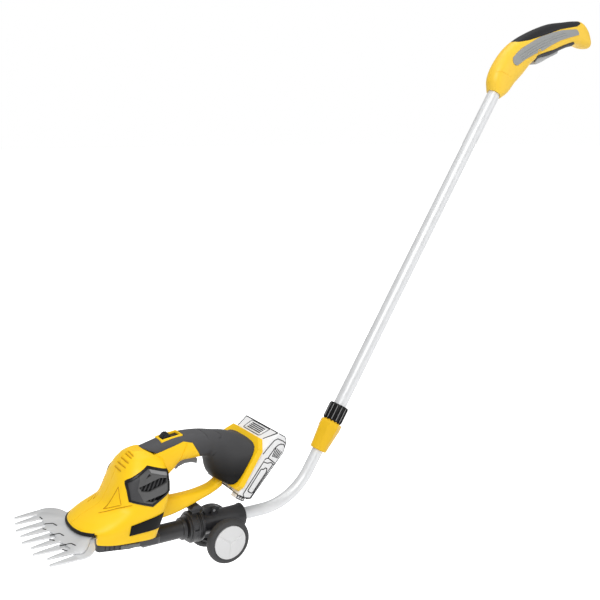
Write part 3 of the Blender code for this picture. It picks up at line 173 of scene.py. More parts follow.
def round_turned(name, profile, axis="Z", steps=72, place=LEVEL, ring=False):
    """A turned body: radius and height pairs carried round an axis."""
    r, h = np.asarray(profile, float).T
    a = circle(steps)
    u, v = r[:, None] * np.cos(a), r[:, None] * np.sin(a)
    w = np.broadcast_to(h[:, None], u.shape)
    xyz = {"Z": (u, v, w), "X": (w, u, v), "Y": (v, w, u)}[axis]
    return loft(name, tilted(np.stack(xyz, -1), *place), ring)


def drill(radius, low, high, axis="Z", steps=32, place=LEVEL):
    """A plain round rod that cuts a bore."""
    return round_turned("drill", [(radius, low), (radius, high)], axis, steps, place)


print("four steps of a turn in degrees:", np.degrees(circle(4)))


# %% Rods along a path and rounded outlines
def unit(vectors):
    """Each row scaled to length one: v / |v|."""
    return vectors / np.linalg.norm(vectors, axis=1)[:, None]


def swept(name, path, radius, sides=16):
    """A round rod along a path: circles set square to the path's direction."""
    path = np.asarray(path, float)
    ahead = unit(np.gradient(path, axis=0))
    guide = np.where(np.abs(ahead[:, 1:2]) > 0.9, [[0.0, 0.0, 1.0]], [[0.0, 1.0, 0.0]])
    side = unit(np.cross(ahead, guide))
    lift = np.cross(ahead, side)
    a = circle(sides)[:, None]
    size = np.broadcast_to(np.asarray(radius, float), (len(path),))[:, None, None]
    return loft(name, path[:, None] + size * (np.cos(a) * side[:, None] + np.sin(a) * lift[:, None]))


def rounded_outline(corners, radius, steps=6):
    """A polygon with its corners rounded: a short quadratic curve at each corner."""
    p = np.asarray(corners, float)
    before, after = np.roll(p, 1, 0) - p, np.roll(p, -1, 0) - p
    lb, la = np.linalg.norm(before, axis=1), np.linalg.norm(after, axis=1)
    reach = np.minimum(radius, 0.45 * np.minimum(lb, la))[:, None]
    a, c = p + before / lb[:, None] * reach, p + after / la[:, None] * reach
    t = np.linspace(0, 1, steps)[None, :, None]
    curve = (1 - t) ** 2 * a[:, None] + 2 * t * (1 - t) * p[:, None] + t ** 2 * c[:, None]
    return curve.reshape(-1, 2)


print("a rounded square has", len(rounded_outline([(0, 0), (9, 0), (9, 9), (0, 9)], 2)), "points")

# %% [markdown]
# ## Working on meshes
# Blender's modifiers can be run once and their result kept, which leaves plain
# meshes. Boolean steps cut one closed body with another, and a bevel rounds the
# edges so that they catch the light as moulded edges do.

# %% Modifiers, run once
def placed(name, data):
    """A new object with its mesh, lamp or camera, put in the scene."""
    obj = bpy.data.objects.new(name, data)
    bpy.context.collection.objects.link(obj)
    return obj


def run_modifiers(mesh, *settings):
    """The mesh after a list of (kind, values) modifiers; a value may be another mesh."""
    work = placed("work", mesh)
    helpers = []
    for kind, values in settings:
        mod = work.modifiers.new(kind.lower(), kind)
        for key, value in values.items():
            if isinstance(value, bpy.types.Mesh):
                value = placed("helper", value)
                helpers.append(value)
            setattr(mod, key, value)
    graph = bpy.context.evaluated_depsgraph_get()
    result = bpy.data.meshes.new_from_object(work.evaluated_get(graph), depsgraph=graph)
    for obj in [work] + helpers:
        bpy.data.objects.remove(obj)
    result.name = mesh.name
    return result


def booleans(kind, mesh, tools):
    """The mesh after one Boolean step with each tool in turn."""
    return run_modifiers(mesh, *[("BOOLEAN", {"operation": kind, "object": t}) for t in tools])


def cut(mesh, *tools):
    """The mesh with the tools' bodies taken away."""
    return booleans("DIFFERENCE", mesh, tools)


def common(mesh, *tools):
    """What all the bodies share."""
    return booleans("INTERSECT", mesh, tools)


def merged(mesh, *tools):
    """The bodies as one."""
    return booleans("UNION", mesh, tools)


print("Boolean steps: cut, common and merged")


# %% Bevel, remesh and the finished piece
def bevelled(mesh, width, segments=3, angle=35):
    """The mesh with its sharp edges rounded to a width in millimetres."""
    return run_modifiers(mesh, ("BEVEL", {"width": width * 0.001, "segments": segments,
                                          "limit_method": "ANGLE", "angle_limit": math.radians(angle)}))


def melted(mesh, voxel, rounds):
    """The mesh rebuilt in even cells and smoothed, so that joined bodies flow together."""
    return run_modifiers(mesh, ("REMESH", {"mode": "VOXEL", "voxel_size": voxel * 0.001}),
                         ("SMOOTH", {"factor": 0.5, "iterations": rounds}))


def piece(name, mesh, body, finish, stands_for=(), smooth=35):
    """A finished piece: its mesh, its finish, the body it rides on and the nodes it replaces."""
    obj = placed(name, mesh)
    mesh.materials.clear()
    mesh.materials.append(finish)
    mesh.shade_smooth()
    mesh.set_sharp_from_angle(angle=math.radians(smooth))
    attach(obj, body)
    if stands_for:
        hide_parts(*stands_for)
    print(f"{name}: {len(mesh.polygons)} faces")
    return obj


print("each finished piece rides on its body and prints its faces")

# %% [markdown]
# ## Shared shader groups
# Moulded plastic is never flat: it has a fine spark-eroded grain, and its colour
# and gloss drift a little. Metal has fine lines from rolling or grinding. Each is
# a node group with its own inputs, so every finish sets its own strength.

# %% Node helpers
def feed(tree, shader, inputs):
    """Give a node its inputs: another node's output is linked, any other value is set."""
    for key, value in inputs.items():
        if isinstance(value, bpy.types.NodeSocket):
            tree.links.new(value, shader.inputs[key])
        else:
            shader.inputs[key].default_value = value


def node(tree, kind, inputs=None, **settings):
    """A new shader node of a kind with its settings and inputs."""
    made = tree.nodes.new("ShaderNode" + kind)
    for key, value in settings.items():
        setattr(made, key, value)
    feed(tree, made, inputs or {})
    return made


def worked(tree, operation, a, b):
    """The output of a math node."""
    return node(tree, "Math", {0: a, 1: b}, operation=operation).outputs[0]


print("node groups in the packed model:", len(bpy.data.node_groups))


# %% What every group shares
def new_group(name, inputs):
    """A shader group with named inputs, and the three outputs that every finish needs."""
    group = bpy.data.node_groups.new(name, "ShaderNodeTree")
    for title, value in inputs.items():
        kind = {1: "Float", 3: "Vector", 4: "Color"}[np.size(value)]
        socket = group.interface.new_socket(title, in_out="INPUT", socket_type="NodeSocket" + kind)
        socket.default_value = value
    for title, kind in (("Colour", "Color"), ("Roughness", "Float"), ("Normal", "Vector")):
        group.interface.new_socket(title, in_out="OUTPUT", socket_type="NodeSocket" + kind)
    return group, group.nodes.new("NodeGroupInput").outputs


def close_group(group, start, drift, height, distance, depth):
    """Lead colour times 1 + drift, gloss + drift and the bump of a height to the group's outputs."""
    bump = node(group, "Bump", {"Height": height, "Distance": distance, "Strength": depth})
    tone = node(group, "HueSaturation", {"Color": start["Colour"], "Value": worked(group, "ADD", drift, 1.0)})
    feed(group, group.nodes.new("NodeGroupOutput"),
         {"Colour": tone.outputs["Color"], "Roughness": worked(group, "ADD", start["Gloss"], drift),
          "Normal": bump.outputs["Normal"]})
    return group


print("each group gives colour, roughness and normal")


# %% The moulded and the lined surface
def moulded_group():
    """Grain as a bump, and a slow drift of colour and gloss."""
    group, start = new_group("moulded_surface", {"Colour": (0.5, 0.5, 0.5, 1), "Grain scale": 900.0,
                                                 "Grain depth": 0.1, "Gloss": 0.45, "Drift": 0.05})
    place = node(group, "TexCoord").outputs["Object"]
    grain = node(group, "TexNoise", {"Scale": start["Grain scale"], "Detail": 3.0, "Vector": place})
    slow = node(group, "TexNoise", {"Scale": 22.0, "Detail": 4.0, "Vector": place})
    swing = worked(group, "SUBTRACT", slow.outputs["Fac"], 0.5)
    return close_group(group, start, worked(group, "MULTIPLY", swing, start["Drift"]),
                       grain.outputs["Fac"], 0.0002, start["Grain depth"])


def lined_group():
    """Fine parallel lines along one direction, as on drawn tube or ground steel."""
    group, start = new_group("metal_lines", {"Colour": (0.7, 0.7, 0.7, 1), "Squeeze": (1.0, 1.0, 1.0),
                                             "Depth": 0.1, "Gloss": 0.3})
    place = node(group, "TexCoord").outputs["Object"]
    stretch = node(group, "VectorMath", {0: place, 1: start["Squeeze"]}, operation="MULTIPLY")
    lines = node(group, "TexNoise", {"Scale": 1.0, "Detail": 5.0, "Vector": stretch.outputs[0]})
    spread = node(group, "MapRange", {"To Min": -0.08, "To Max": 0.08, "Value": lines.outputs["Fac"]})
    return close_group(group, start, spread.outputs["Result"], lines.outputs["Fac"], 0.0001, start["Depth"])


MOULDED, LINED = moulded_group(), lined_group()
print("node groups:", MOULDED.name, LINED.name)

# %% [markdown]
# ## Finishes
# The colours are read from the photograph as screen values and turned into the
# linear values that shaders use.

# %% Colour, plastic and metal
def linear(red, green, blue):
    """Screen values from 0 to 255 as linear colour, by the sRGB curve."""
    s = np.array((red, green, blue)) / 255
    low, high = s / 12.92, ((s + 0.055) / 1.055) ** 2.4
    return (*np.where(s <= 0.04045, low, high).tolist(), 1.0)


def surface(name, group, values, metal=0.0, specular=0.5):
    """A material whose Principled shader takes colour, roughness and normal from a group."""
    mat = bpy.data.materials.new(name)
    mat.use_nodes = True
    tree = mat.node_tree
    unit = node(tree, "Group", values, node_tree=group).outputs
    feed(tree, tree.nodes["Principled BSDF"],
         {"Metallic": metal, "Specular IOR Level": specular, "Base Color": unit["Colour"],
          "Roughness": unit["Roughness"], "Normal": unit["Normal"]})
    mat.diffuse_color = values["Colour"]
    return mat


def plastic(name, colour, gloss, grain, depth, drift, specular=0.5):
    """Moulded plastic: colour, roughness and the grain's size and depth."""
    return surface(name, MOULDED, {"Colour": linear(*colour), "Grain scale": grain, "Grain depth": depth,
                                   "Gloss": gloss, "Drift": drift}, 0.0, specular)


def metal(name, colour, gloss, squeeze, depth=0.15, shine=1.0):
    """Metal with fine lines; squeeze sets how often the pattern repeats along X, Y and Z."""
    return surface(name, LINED, {"Colour": linear(*colour), "Squeeze": squeeze, "Depth": depth,
                                 "Gloss": gloss}, shine)


print("mid grey as linear colour:", linear(128, 128, 128)[0])

# %% The finishes
YELLOW = plastic("yellow_housing", (254, 205, 18), 0.44, 1400, 0.10, 0.05, 0.35)
PALE_YELLOW = plastic("yellow_handle", (250, 205, 58), 0.42, 1400, 0.08, 0.05, 0.4)
COLLAR_YELLOW = plastic("yellow_collar", (236, 188, 24), 0.44, 1400, 0.08, 0.05, 0.35)
SLOT_SHADE = plastic("slot_shade", (196, 148, 22), 0.60, 1400, 0.05, 0.03, 0.2)
SOFT = plastic("soft_grip", (95, 95, 97), 0.52, 2200, 0.35, 0.10, 0.15)
TOP_SOFT = plastic("top_soft_grip", (40, 40, 42), 0.50, 2200, 0.35, 0.10, 0.2)
CHARCOAL = plastic("charcoal_carrier", (46, 46, 48), 0.38, 1600, 0.22, 0.10, 0.4)
SOLE_GREY = plastic("sole_grey", (52, 52, 54), 0.50, 1500, 0.20, 0.10)
BLACK = plastic("black_trim", (20, 20, 21), 0.38, 1500, 0.10, 0.08, 0.3)
PLATE_BLACK = plastic("bare_plate", (12, 12, 13), 0.40, 900, 0.03, 0.04, 0.1)
KNOB_BLACK = plastic("knob_black", (16, 16, 17), 0.30, 1500, 0.06, 0.05, 0.2)
# Light grey for the knob's rib crowns: a painted highlight.
RIB_HIGHLIGHT_GREY = plastic("knob_rib_highlight", (150, 150, 150), 0.35, 1500, 0.06, 0.05)
VENT_GREY = plastic("vent_grey", (84, 84, 84), 0.40, 1600, 0.20, 0.10, 0.4)
# Lighter grey strip on the vent's upper edge: a painted highlight.
HIGHLIGHT_GREY = plastic("vent_painted_highlight", (132, 132, 132), 0.36, 1600, 0.16, 0.08)
TRIGGER_GREY = plastic("trigger_grey", (104, 106, 106), 0.45, 1500, 0.12, 0.06)
LEVER_GREY = plastic("lever_grey", (176, 177, 177), 0.36, 1500, 0.06, 0.05)
PANEL_GREY = plastic("panel_grey", (148, 150, 149), 0.38, 1500, 0.08, 0.05)
PACK_WHITE = plastic("pack_white", (236, 236, 236), 0.45, 1300, 0.06, 0.02, 0.3)
PACK_LINE = plastic("pack_seam", (30, 30, 32), 0.60, 1300, 0.05, 0.02, 0.2)
CAP_WHITE = plastic("cap_white", (220, 220, 220), 0.36, 1400, 0.06, 0.03)
TYRE = plastic("tyre_rubber", (58, 58, 59), 0.72, 1800, 0.40, 0.12)
TUBE = metal("satin_tube", (220, 221, 222), 0.42, (60, 60, 60), 0.01, 0.25)
BLADE = metal("ground_blade", (216, 217, 218), 0.34, (60, 1800, 900), 0.10, 0.30)
STEEL = metal("plain_steel", (190, 191, 193), 0.30, (900, 900, 900))
print(len(bpy.data.materials), "materials")


# %% Painted shade on the soft cover's foot
def paint_shade_below(mat, dark, bottom, top):
    """Paint shade onto a finish towards the ground: its value runs from dark at bottom to 1 at top."""
    tree = mat.node_tree
    shader = tree.nodes["Principled BSDF"]
    split = node(tree, "SeparateXYZ", {0: node(tree, "TexCoord").outputs["Object"]})
    low, high = (bottom - HAND[2]) * 0.001, (top - HAND[2]) * 0.001
    share = node(tree, "MapRange", {"From Min": low, "From Max": high, "To Min": dark, "To Max": 1.0,
                                    "Value": split.outputs["Z"]})
    plain = shader.inputs["Base Color"].links[0].from_socket
    tone = node(tree, "HueSaturation", {"Color": plain, "Value": share.outputs["Result"]})
    feed(tree, shader, {"Base Color": tone.outputs["Color"]})


# Painted shade: the soft cover's colour darkens towards the ground, where less light falls.
SHADE_DARKEST_BELOW, PLAIN_ABOVE = 110.0, 178.0
paint_shade_below(SOFT, 0.04, SHADE_DARKEST_BELOW, PLAIN_ABOVE)
print("the soft cover darkens below", PLAIN_ABOVE, "mm")

# %% [markdown]
# ## The yellow housing
# On the real tool the head's housing is two moulded shells with soft fillets where
# the body flows into the D-shaped handle. Plain Boolean unions leave hard creases
# there, so the body, the grip and the strut are joined, rebuilt in even cells and
# smoothed a little: the creases melt into fillets, as in a mould.

# %% The body's skin
# height, front, rear, half width in front and behind, squareness in front and behind
BODY = np.array([
    (46.0, -170.0, -95.0, 42.0, 33.0, 2.3, 6.0), (66.0, -177.0, -89.5, 45.0, 37.0, 2.3, 6.0),
    (86.0, -179.5, -81.0, 47.0, 38.5, 2.3, 6.0), (90.0, -176.5, -79.7, 45.8, 38.8, 2.3, 6.0),
    (95.0, -168.5, -78.2, 43.5, 39.0, 2.2, 6.0), (100.0, -156.0, -76.8, 40.5, 39.0, 2.2, 6.0),
    (103.0, -147.5, -76.0, 39.0, 39.0, 2.3, 6.0), (107.0, -142.5, -75.3, 38.2, 38.8, 2.4, 6.0),
    (114.0, -137.5, -74.2, 37.5, 38.5, 2.6, 6.0), (124.0, -132.0, -73.0, 36.0, 37.5, 2.8, 5.6),
    (134.0, -127.2, -73.0, 33.2, 35.0, 2.8, 5.0), (143.0, -122.0, -75.0, 28.5, 30.0, 2.7, 3.8),
    (151.5, -115.5, -80.5, 20.5, 22.0, 2.5, 3.0), (157.0, -109.0, -91.5, 9.0, 11.0, 2.3, 2.3)])


def superellipse(angles, power):
    """Points of |x|^p + |y|^p = 1: a cosine and a sine, each to the power 2 / p with its sign kept."""
    return [np.sign(w) * np.abs(w) ** (2 / power) for w in (np.cos(angles), np.sin(angles))]


def body_rings(inset=0.0, rows=72, cols=144):
    """Plan sections, each a superellipse that is rounder in front than behind."""
    heights = np.linspace(BODY[0, 0], BODY[-1, 0], rows)
    x0, x1, h0, h1, nose, square = (np.interp(heights, BODY[:, 0], BODY[:, k])[:, None]
                                    for k in range(1, 7))
    t = 2 * np.pi * (np.arange(cols) + 0.5) / cols
    x, y = superellipse(t, np.where(np.cos(t) > 0, square, nose))
    half = h0 + (h1 - h0) * (x + 1) / 2 - inset
    z = np.broadcast_to(heights[:, None], x.shape)
    return np.stack([(x0 + x1) / 2 + ((x1 - x0) / 2 - inset) * x, y * half, z], -1)


print("the body's rings and points:", body_rings().shape[:2])


# %% A surface through stations of a side view
def side_loft(name, stations, rows=90, cols=72, inset=0.0):
    """Rings through (top, bottom, half width, squareness) stations of a side view."""
    table = np.array([[t[0], t[1], b[0], b[1], h, p] for t, b, h, p in stations])
    tx, tz, bx, bz, half, power = smooth_rows(table, rows).T
    length = np.hypot(tx - bx, tz - bz)
    ux, uz = (tx - bx) / length, (tz - bz) / length
    t = 2 * np.pi * (np.arange(cols) + 0.5) / cols
    c, s = superellipse(t, power[:, None])
    reach = (length / 2 - inset)[:, None] * c
    rings = np.stack([((tx + bx) / 2)[:, None] + ux[:, None] * reach, (half - inset)[:, None] * s,
                      ((tz + bz) / 2)[:, None] + uz[:, None] * reach], -1)
    return loft(name, rings)


# %% The grip and the strut
GRIP = [((-112.0, 150.0), (-88.0, 118.0), 14.0, 2.6), ((-98.0, 157.0), (-70.0, 117.0), 14.5, 2.6),
        ((-80.0, 161.0), (-59.0, 124.0), 15.5, 2.6), ((-60.0, 164.5), (-51.0, 132.0), 16.0, 2.6),
        ((-40.0, 164.5), (-36.0, 132.5), 16.5, 2.6), ((-20.0, 161.8), (-22.5, 132.0), 18.0, 2.6),
        ((-4.0, 158.5), (-17.0, 129.5), 17.0, 2.2), ((9.5, 155.5), (-15.5, 121.0), 19.5, 2.1),
        ((19.5, 151.5), (-13.5, 112.0), 25.0, 2.1), ((28.5, 147.6), (-8.5, 103.2), 32.0, 2.5),
        ((36.0, 144.2), (2.4, 95.9), 38.0, 4.0)]
STRUT = [((-92.0, 95.0), (-92.0, 67.0), 9.0, 3.0), ((-62.0, 91.2), (-60.0, 69.0), 9.0, 3.0),
         ((-36.0, 89.9), (-34.0, 75.6), 9.0, 3.0), ((-15.5, 91.8), (-14.0, 81.5), 9.0, 3.0),
         ((-6.0, 95.0), (-3.5, 85.6), 9.0, 3.0), ((0.8, 100.0), (3.2, 88.8), 9.0, 3.0)]
print(len(GRIP), "grip stations and", len(STRUT), "strut stations")

# %% The edges of the dark cover and of the vents
COVER_EDGE = [(-103.0, 175.0), (-96.0, 158.0), (-84.0, 150.5), (-49.0, 158.5), (-38.5, 155.0),
              (-27.0, 134.0), (-26.0, 124.0), (-29.0, 112.0), (-14.0, 104.5), (-6.0, 93.0),
              (60.0, 60.0), (90.0, 190.0)]
VENT = [(-124.5, 132.8), (-99.0, 145.5), (-76.2, 137.0), (-76.6, 114.3), (-99.5, 102.6), (-124.5, 113.0)]


def grown(outline, distance):
    """A polygon moved outwards by a distance, with mitred corners."""
    p = np.asarray(outline, float)
    d = unit(np.roll(p, -1, 0) - p)
    n = np.stack([d[:, 1], -d[:, 0]], 1)
    area = np.sum(p[:, 0] * np.roll(p[:, 1], -1) - np.roll(p[:, 0], -1) * p[:, 1])
    n *= np.sign(area)
    mitre = unit(n + np.roll(n, 1, 0))
    return p + mitre * distance / np.maximum(np.sum(mitre * n, 1), 0.3)[:, None]


print("room for the vent in mm:", np.ptp(grown(VENT, GAP), axis=0).round(1))


# %% Grooves along paths laid on a surface
def even(points, count):
    """Points spread evenly along a path, by its length."""
    p = np.asarray(points, float)
    run = np.concatenate([[0], np.cumsum(np.linalg.norm(np.diff(p, axis=0), axis=1))])
    at = np.linspace(0, run[-1], count)
    return np.stack([np.interp(at, run, p[:, k]) for k in range(3)], 1)


def draped(mesh, points):
    """A path laid on the mesh: each point goes to the nearest place of its surface."""
    corners = np.empty(3 * len(mesh.vertices), np.float32)
    mesh.vertices.foreach_get("co", corners)
    tree = BVHTree.FromPolygons(corners.reshape(-1, 3).tolist(), [f.vertices for f in mesh.polygons])
    length = np.linalg.norm(np.diff(np.asarray(points, float), axis=0), axis=1).sum()
    path = metres(even(points, max(int(length), 6))).tolist()
    laid = np.array([tree.find_nearest(p)[0] for p in path]) * 1000 + HAND
    laid = laid[np.concatenate([[True], np.linalg.norm(np.diff(laid, axis=0), axis=1) > 0.25])]
    laid[1:-1] = (laid[:-2] + 2 * laid[1:-1] + laid[2:]) / 4
    return laid


def score(mesh, paths, radius, both=True):
    """Thin round-bottomed grooves along draped paths, mirrored to the far side if wanted."""
    for path in paths:
        for side in ((1, -1) if both else (1,)):
            run = draped(mesh, np.array(path, float) * (1, side, 1))
            taper = np.minimum(np.arange(len(run)), np.arange(len(run))[::-1])
            rod = swept("score", run, radius * np.minimum(0.35 + 0.3 * taper, 1), 8)
            scored = cut(mesh, rod)
            if len(scored.polygons) > len(mesh.polygons) // 2:
                mesh = scored
            else:
                print("a groove was left out at", run[0])
    return mesh


# %% Join and melt the yellow housing
whole = merged(loft("body", body_rings()), side_loft("grip", GRIP), side_loft("strut", STRUT))
skin = melted(whole, 0.9, 5)
print("melted housing:", len(skin.polygons), "faces")

# %% [markdown]
# Six short louvre slots cross the front of the hump, above the motor. Fine creases
# frame a triangle beside the vent and run up the trigger web. Thin rods laid on the
# surface cut them, and darker rods at the bottom paint the shade that falls there.

# %% Louvre slots and creases
HUMP_SLOTS = [
    [(-123.5, 5.7, 140.2), (-123.1, -12.5, 139.3)], [(-120.4, 4.5, 144.9), (-119.1, -16.5, 143.6)],
    [(-116.8, 3.0, 149.6), (-115.3, -15.7, 147.9)], [(-112.6, 0.7, 153.9), (-111.2, -14.3, 152.0)],
    [(-109.7, -0.4, 156.4), (-108.6, -13.7, 153.4)], [(-104.6, -2.6, 157.0), (-102.4, -14.6, 154.4)]]
CREASES = [[(-129.3, -18.4, 125.8), (-146.5, -15.1, 102.6)], [(-146.5, -15.1, 102.6), (-131.6, -29.9, 108.9)],
           [(-131.6, -29.9, 108.9), (-129.3, -18.4, 125.8)],
           [(-152.4, -16.6, 100.3), (-126.7, -33.9, 108.0), (-121.0, -36.4, 108.6)],
           [(-45.1, -15.1, 156.4), (-59.9, -10.4, 127.7)], [(-60.0, -9.0, 121.0), (-74.0, -30.0, 121.0)]]
housing = score(score(skin, HUMP_SLOTS, 1.15, False), CREASES, 0.8)


def groove_shade_rod(path, side, sink, radius):
    """A thin rod of painted shade, sunk towards the body's core so that it lies at the bottom of a groove."""
    run = draped(skin, np.array(path, float) * (1, side, 1))
    inward = np.column_stack([run[:, 0] + 12, np.zeros(len(run)), np.full(len(run), 110.0)]) - run
    return swept("floor", run + sink * inward / np.linalg.norm(inward, axis=1)[:, None], radius, 8)


# Dark rods of painted shade lie at the bottom of the slots and creases.
groove_shade_rods = [groove_shade_rod(path, 1, 1.0, 0.62) for path in HUMP_SLOTS]
groove_shade_rods += [groove_shade_rod(path, side, 0.65, 0.34) for path in CREASES[:4] for side in (1, -1)]
piece("painted_groove_shade", merged(*groove_shade_rods), "head", SLOT_SHADE)

# %% Cut the housing to its edges
parting = cut(block("parting", (-190, -0.22, 60), (60, 0.22, 175)), loft("keep", body_rings(0.7)),
              side_loft("keep", GRIP, inset=0.7), side_loft("keep", STRUT, inset=0.7))
under_sole = block("under", (-90, -400, -400), (400, 400, 8.8), SOLE)
nose_gap = block("nose", (-400, -60, 0), (-162, 60, 86.6))
strut_room = side_loft("strut_room", STRUT, 60, 48, -GAP)
cover_zone = cut(across("cover_zone", grown(COVER_EDGE, GAP), 60), strut_room)
trigger_slot = block("slot", (-61.0, -6.6, 112), (-24.0, 6.6, 139))
plug_hole = drill(10.8, -99.0, 0.0, "X", 48, SLEEVE)
inner = loft("inner", body_rings(3.0, 40, 96)[:38])
housing = cut(housing, parting, inner, under_sole, nose_gap, cover_zone, trigger_slot, plug_hole,
              *[sided("vent_room", grown(VENT, GAP), side) for side, name in SIDES])
housing_piece = piece("housing_shell", bevelled(housing, 0.5, 2, 40), "head", YELLOW,
                      ("housing_left", "housing_right"))

# %% [markdown]
# ## The dark soft cover
# A soft rubber skin runs over the grip's top and swells into the battery foot. It
# is the same grip surface, kept only above its parting line with the yellow part.

# %% Grip cover
cover = common(melted(side_loft("grip_cover", GRIP), 0.8, 2), across("cover_solid", COVER_EDGE, 60))
COVER_LINES = [[(-21.0, -7.8, 161.1), (-18.1, -16.2, 154.1)], [(-21.0, -7.8, 161.1), (-21.6, 0.0, 162.0)],
               [(-4.0, -4.0, 158.0), (0.6, -9.5, 155.1), (0.0, -13.0, 153.0), (-4.5, -14.6, 151.7)],
               [(-13.9, -13.2, 131.9), (-11.7, -15.9, 134.2), (-9.5, -17.5, 137.5)]]
cover = cut(score(cover, COVER_LINES, 0.75), loft("keep_off", body_rings(-GAP)), strut_room,
            across("recess", [(-74, 158.0), (-46.5, 160.0), (-46.5, 175), (-74, 175)], 9.5), trigger_slot)
cover_piece = piece("soft_cover", bevelled(cover, 0.6, 3, 40), "head", SOFT, ("grip_cover",))

# %% [markdown]
# ## Vents and the bare plate
# A dark hexagonal cover closes the motor's vent on each side: a black rim, a grey
# face that follows the body, three openings, and thin slanted fins behind them.

# %% Outlines on the vents
OPENINGS = [
    [(-112.5, 126.2), (-110.5, 121.4), (-101.5, 119.2), (-80.6, 124.4), (-79.6, 129.3), (-88.0, 131.6)],
    [(-104.2, 133.4), (-99.2, 137.6), (-97.2, 135.4)],
    [(-107.4, 110.4), (-98.6, 106.9), (-87.0, 109.4), (-80.8, 114.0)]]
# Outlines of the painted highlight along the vent's upper edge and of the painted shade on its front flank.
HIGHLIGHT_STRIP = [(-98.6, 142.4), (-79.0, 135.4), (-78.8, 131.8), (-96.6, 138.2)]
SHADED_FLANK = [(-122.4, 131.0), (-109.0, 137.6), (-114.6, 124.2), (-108.6, 108.4), (-122.4, 114.6)]
print(len(OPENINGS), "openings in each vent's face")


# %% Vent covers
def shell_part(outline, side, outer, inner, *openings):
    """A side-view outline kept between two depths under the body's skin, less its openings."""
    part = common(sided("part", outline, side), loft("skin", body_rings(outer)))
    return cut(part, loft("skin", body_rings(inner)), *[sided("opening", o, side, 20, 70) for o in openings])


def vent(side, name):
    """Rim, face, painted highlight along the upper edge, painted shade on the front flank and the fins behind
    the openings of one vent.
    """
    rim = cut(common(sided("rim", VENT, side), loft("skin", body_rings(-0.7))),
              sided("hole", grown(VENT, -2.0), side, 20, 70), loft("skin", body_rings(2.9)))
    piece(f"vent_rim_{name}", bevelled(rim, 0.35, 2, 40), "head", BLACK)
    face = shell_part(grown(VENT, -2.05), side, 0.25, 2.9, *OPENINGS)
    piece(f"vent_face_{name}", bevelled(face, 0.4, 2, 40), "head", VENT_GREY, (f"vent_cover_{name}",))
    # A lighter grey strip paints the highlight along the upper edge.
    piece(f"vent_painted_highlight_{name}", shell_part(HIGHLIGHT_STRIP, side, -0.35, 0.25), "head", HIGHLIGHT_GREY)
    # A darker grey sheet paints the shade on the vent's front flank.
    piece(f"vent_painted_shade_{name}", bevelled(shell_part(SHADED_FLANK, side, -0.2, 0.25), 0.2, 1, 40), "head", SOLE_GREY)
    piece(f"vent_back_{name}", shell_part(grown(VENT, -1.0), side, 4.8, 5.2), "head", BLACK)
    bars = [shell_part([(x, 107.0), (x + 1.7, 107.0), (x + 19.7, 137.0), (x + 18.0, 137.0)], side, 2.9, 4.9)
            for x in np.arange(-125.0, -88.0, 4.6)]
    piece(f"vent_fins_{name}", merged(*bars), "head", CHARCOAL)


for side, name in SIDES:
    vent(side, name)

# %% The bare plate
NAME_PLATE = [(-126.3, 88.6), (-85.8, 91.4), (-91.6, 75.0), (-128.7, 77.9)]
plate = cut(common(sided("plate", NAME_PLATE, -1, 20, 60), loft("skin", body_rings(-0.9))),
            loft("skin", body_rings(-0.1)))
piece("bare_plate", bevelled(plate, 0.25, 2, 40), "head", PLATE_BLACK, ("name_plate",))

# %% Bezel and safety slider
bezel = across("bezel", [(-73.7, 158.3), (-46.8, 160.3), (-46.8, 165.2), (-73.7, 162.9)], 9.3)
well = across("well", [(-71.3, 160.3), (-49.2, 162), (-49.2, 175), (-71.3, 175)], 6.9)
bezel = bevelled(cut(bevelled(bezel, 1.6, 4, 40), well), 0.4, 2, 40)
piece("rounded_bezel", bezel, "head", YELLOW, ("switch_bezel",))
floor_pad = across("pad", [(-70.9, 160.35), (-49.5, 162.0), (-49.5, 162.6), (-70.9, 160.95)], 6.6)
piece("slider_floor", floor_pad, "head", BLACK)
knob = bevelled(across("slider", [(-70.0, 161.3), (-60.5, 162.0), (-60.5, 163.7), (-62.5, 167.2),
                                  (-66.0, 167.4), (-70.0, 163.8)], 6.0), 1.0, 3, 30)
ridges = [swept("ridge", [(x, -4.5, z), (x, 4.5, z)], 0.45, 10)
          for x, z in ((-68.6, 165.3), (-67.0, 166.7), (-64.6, 167.5), (-62.6, 167.3), (-61.6, 165.6))]
piece("ridged_slider", merged(knob, *ridges), "slider", BLACK, ("safety_slider",))

# %% [markdown]
# ## The battery and its dock
# The photograph shows the pack as white line art, so it is made as a white case
# whose seams are thin dark inlays. The case is a side outline pushed across the
# tool in the dock's own tilted frame, with sloped corners and softened edges.

# %% Case outline in the dock's frame
# away from the dock, and up the sliding direction
PACK = [(0.3, -8.5), (15.0, -8.5), (19.5, -6.0), (30.3, 58.0), (28.0, 68.0), (25.5, 73.5), (21.5, 76.0),
        (10.5, 76.0), (0.3, 61.3)]
PACK_BACK, PACK_HALF, PACK_TOP, SLOPE_TOP, SLOPE_LOW = 0.3, 38.0, 76.0, 10.5, 61.3
SHOULDER_HALF, CHAMFER = 29.0, 12.0
SLOPE_TILT = -math.degrees(math.atan2(PACK_TOP - SLOPE_LOW, SLOPE_TOP - PACK_BACK))
SLOPE_MIDDLE = ((PACK_BACK + SLOPE_TOP) / 2, 0.0, (SLOPE_LOW + PACK_TOP) / 2)
SLOPE = (tuple(tilted(SLOPE_MIDDLE, *DOCK)), DOCK[1] + SLOPE_TILT)


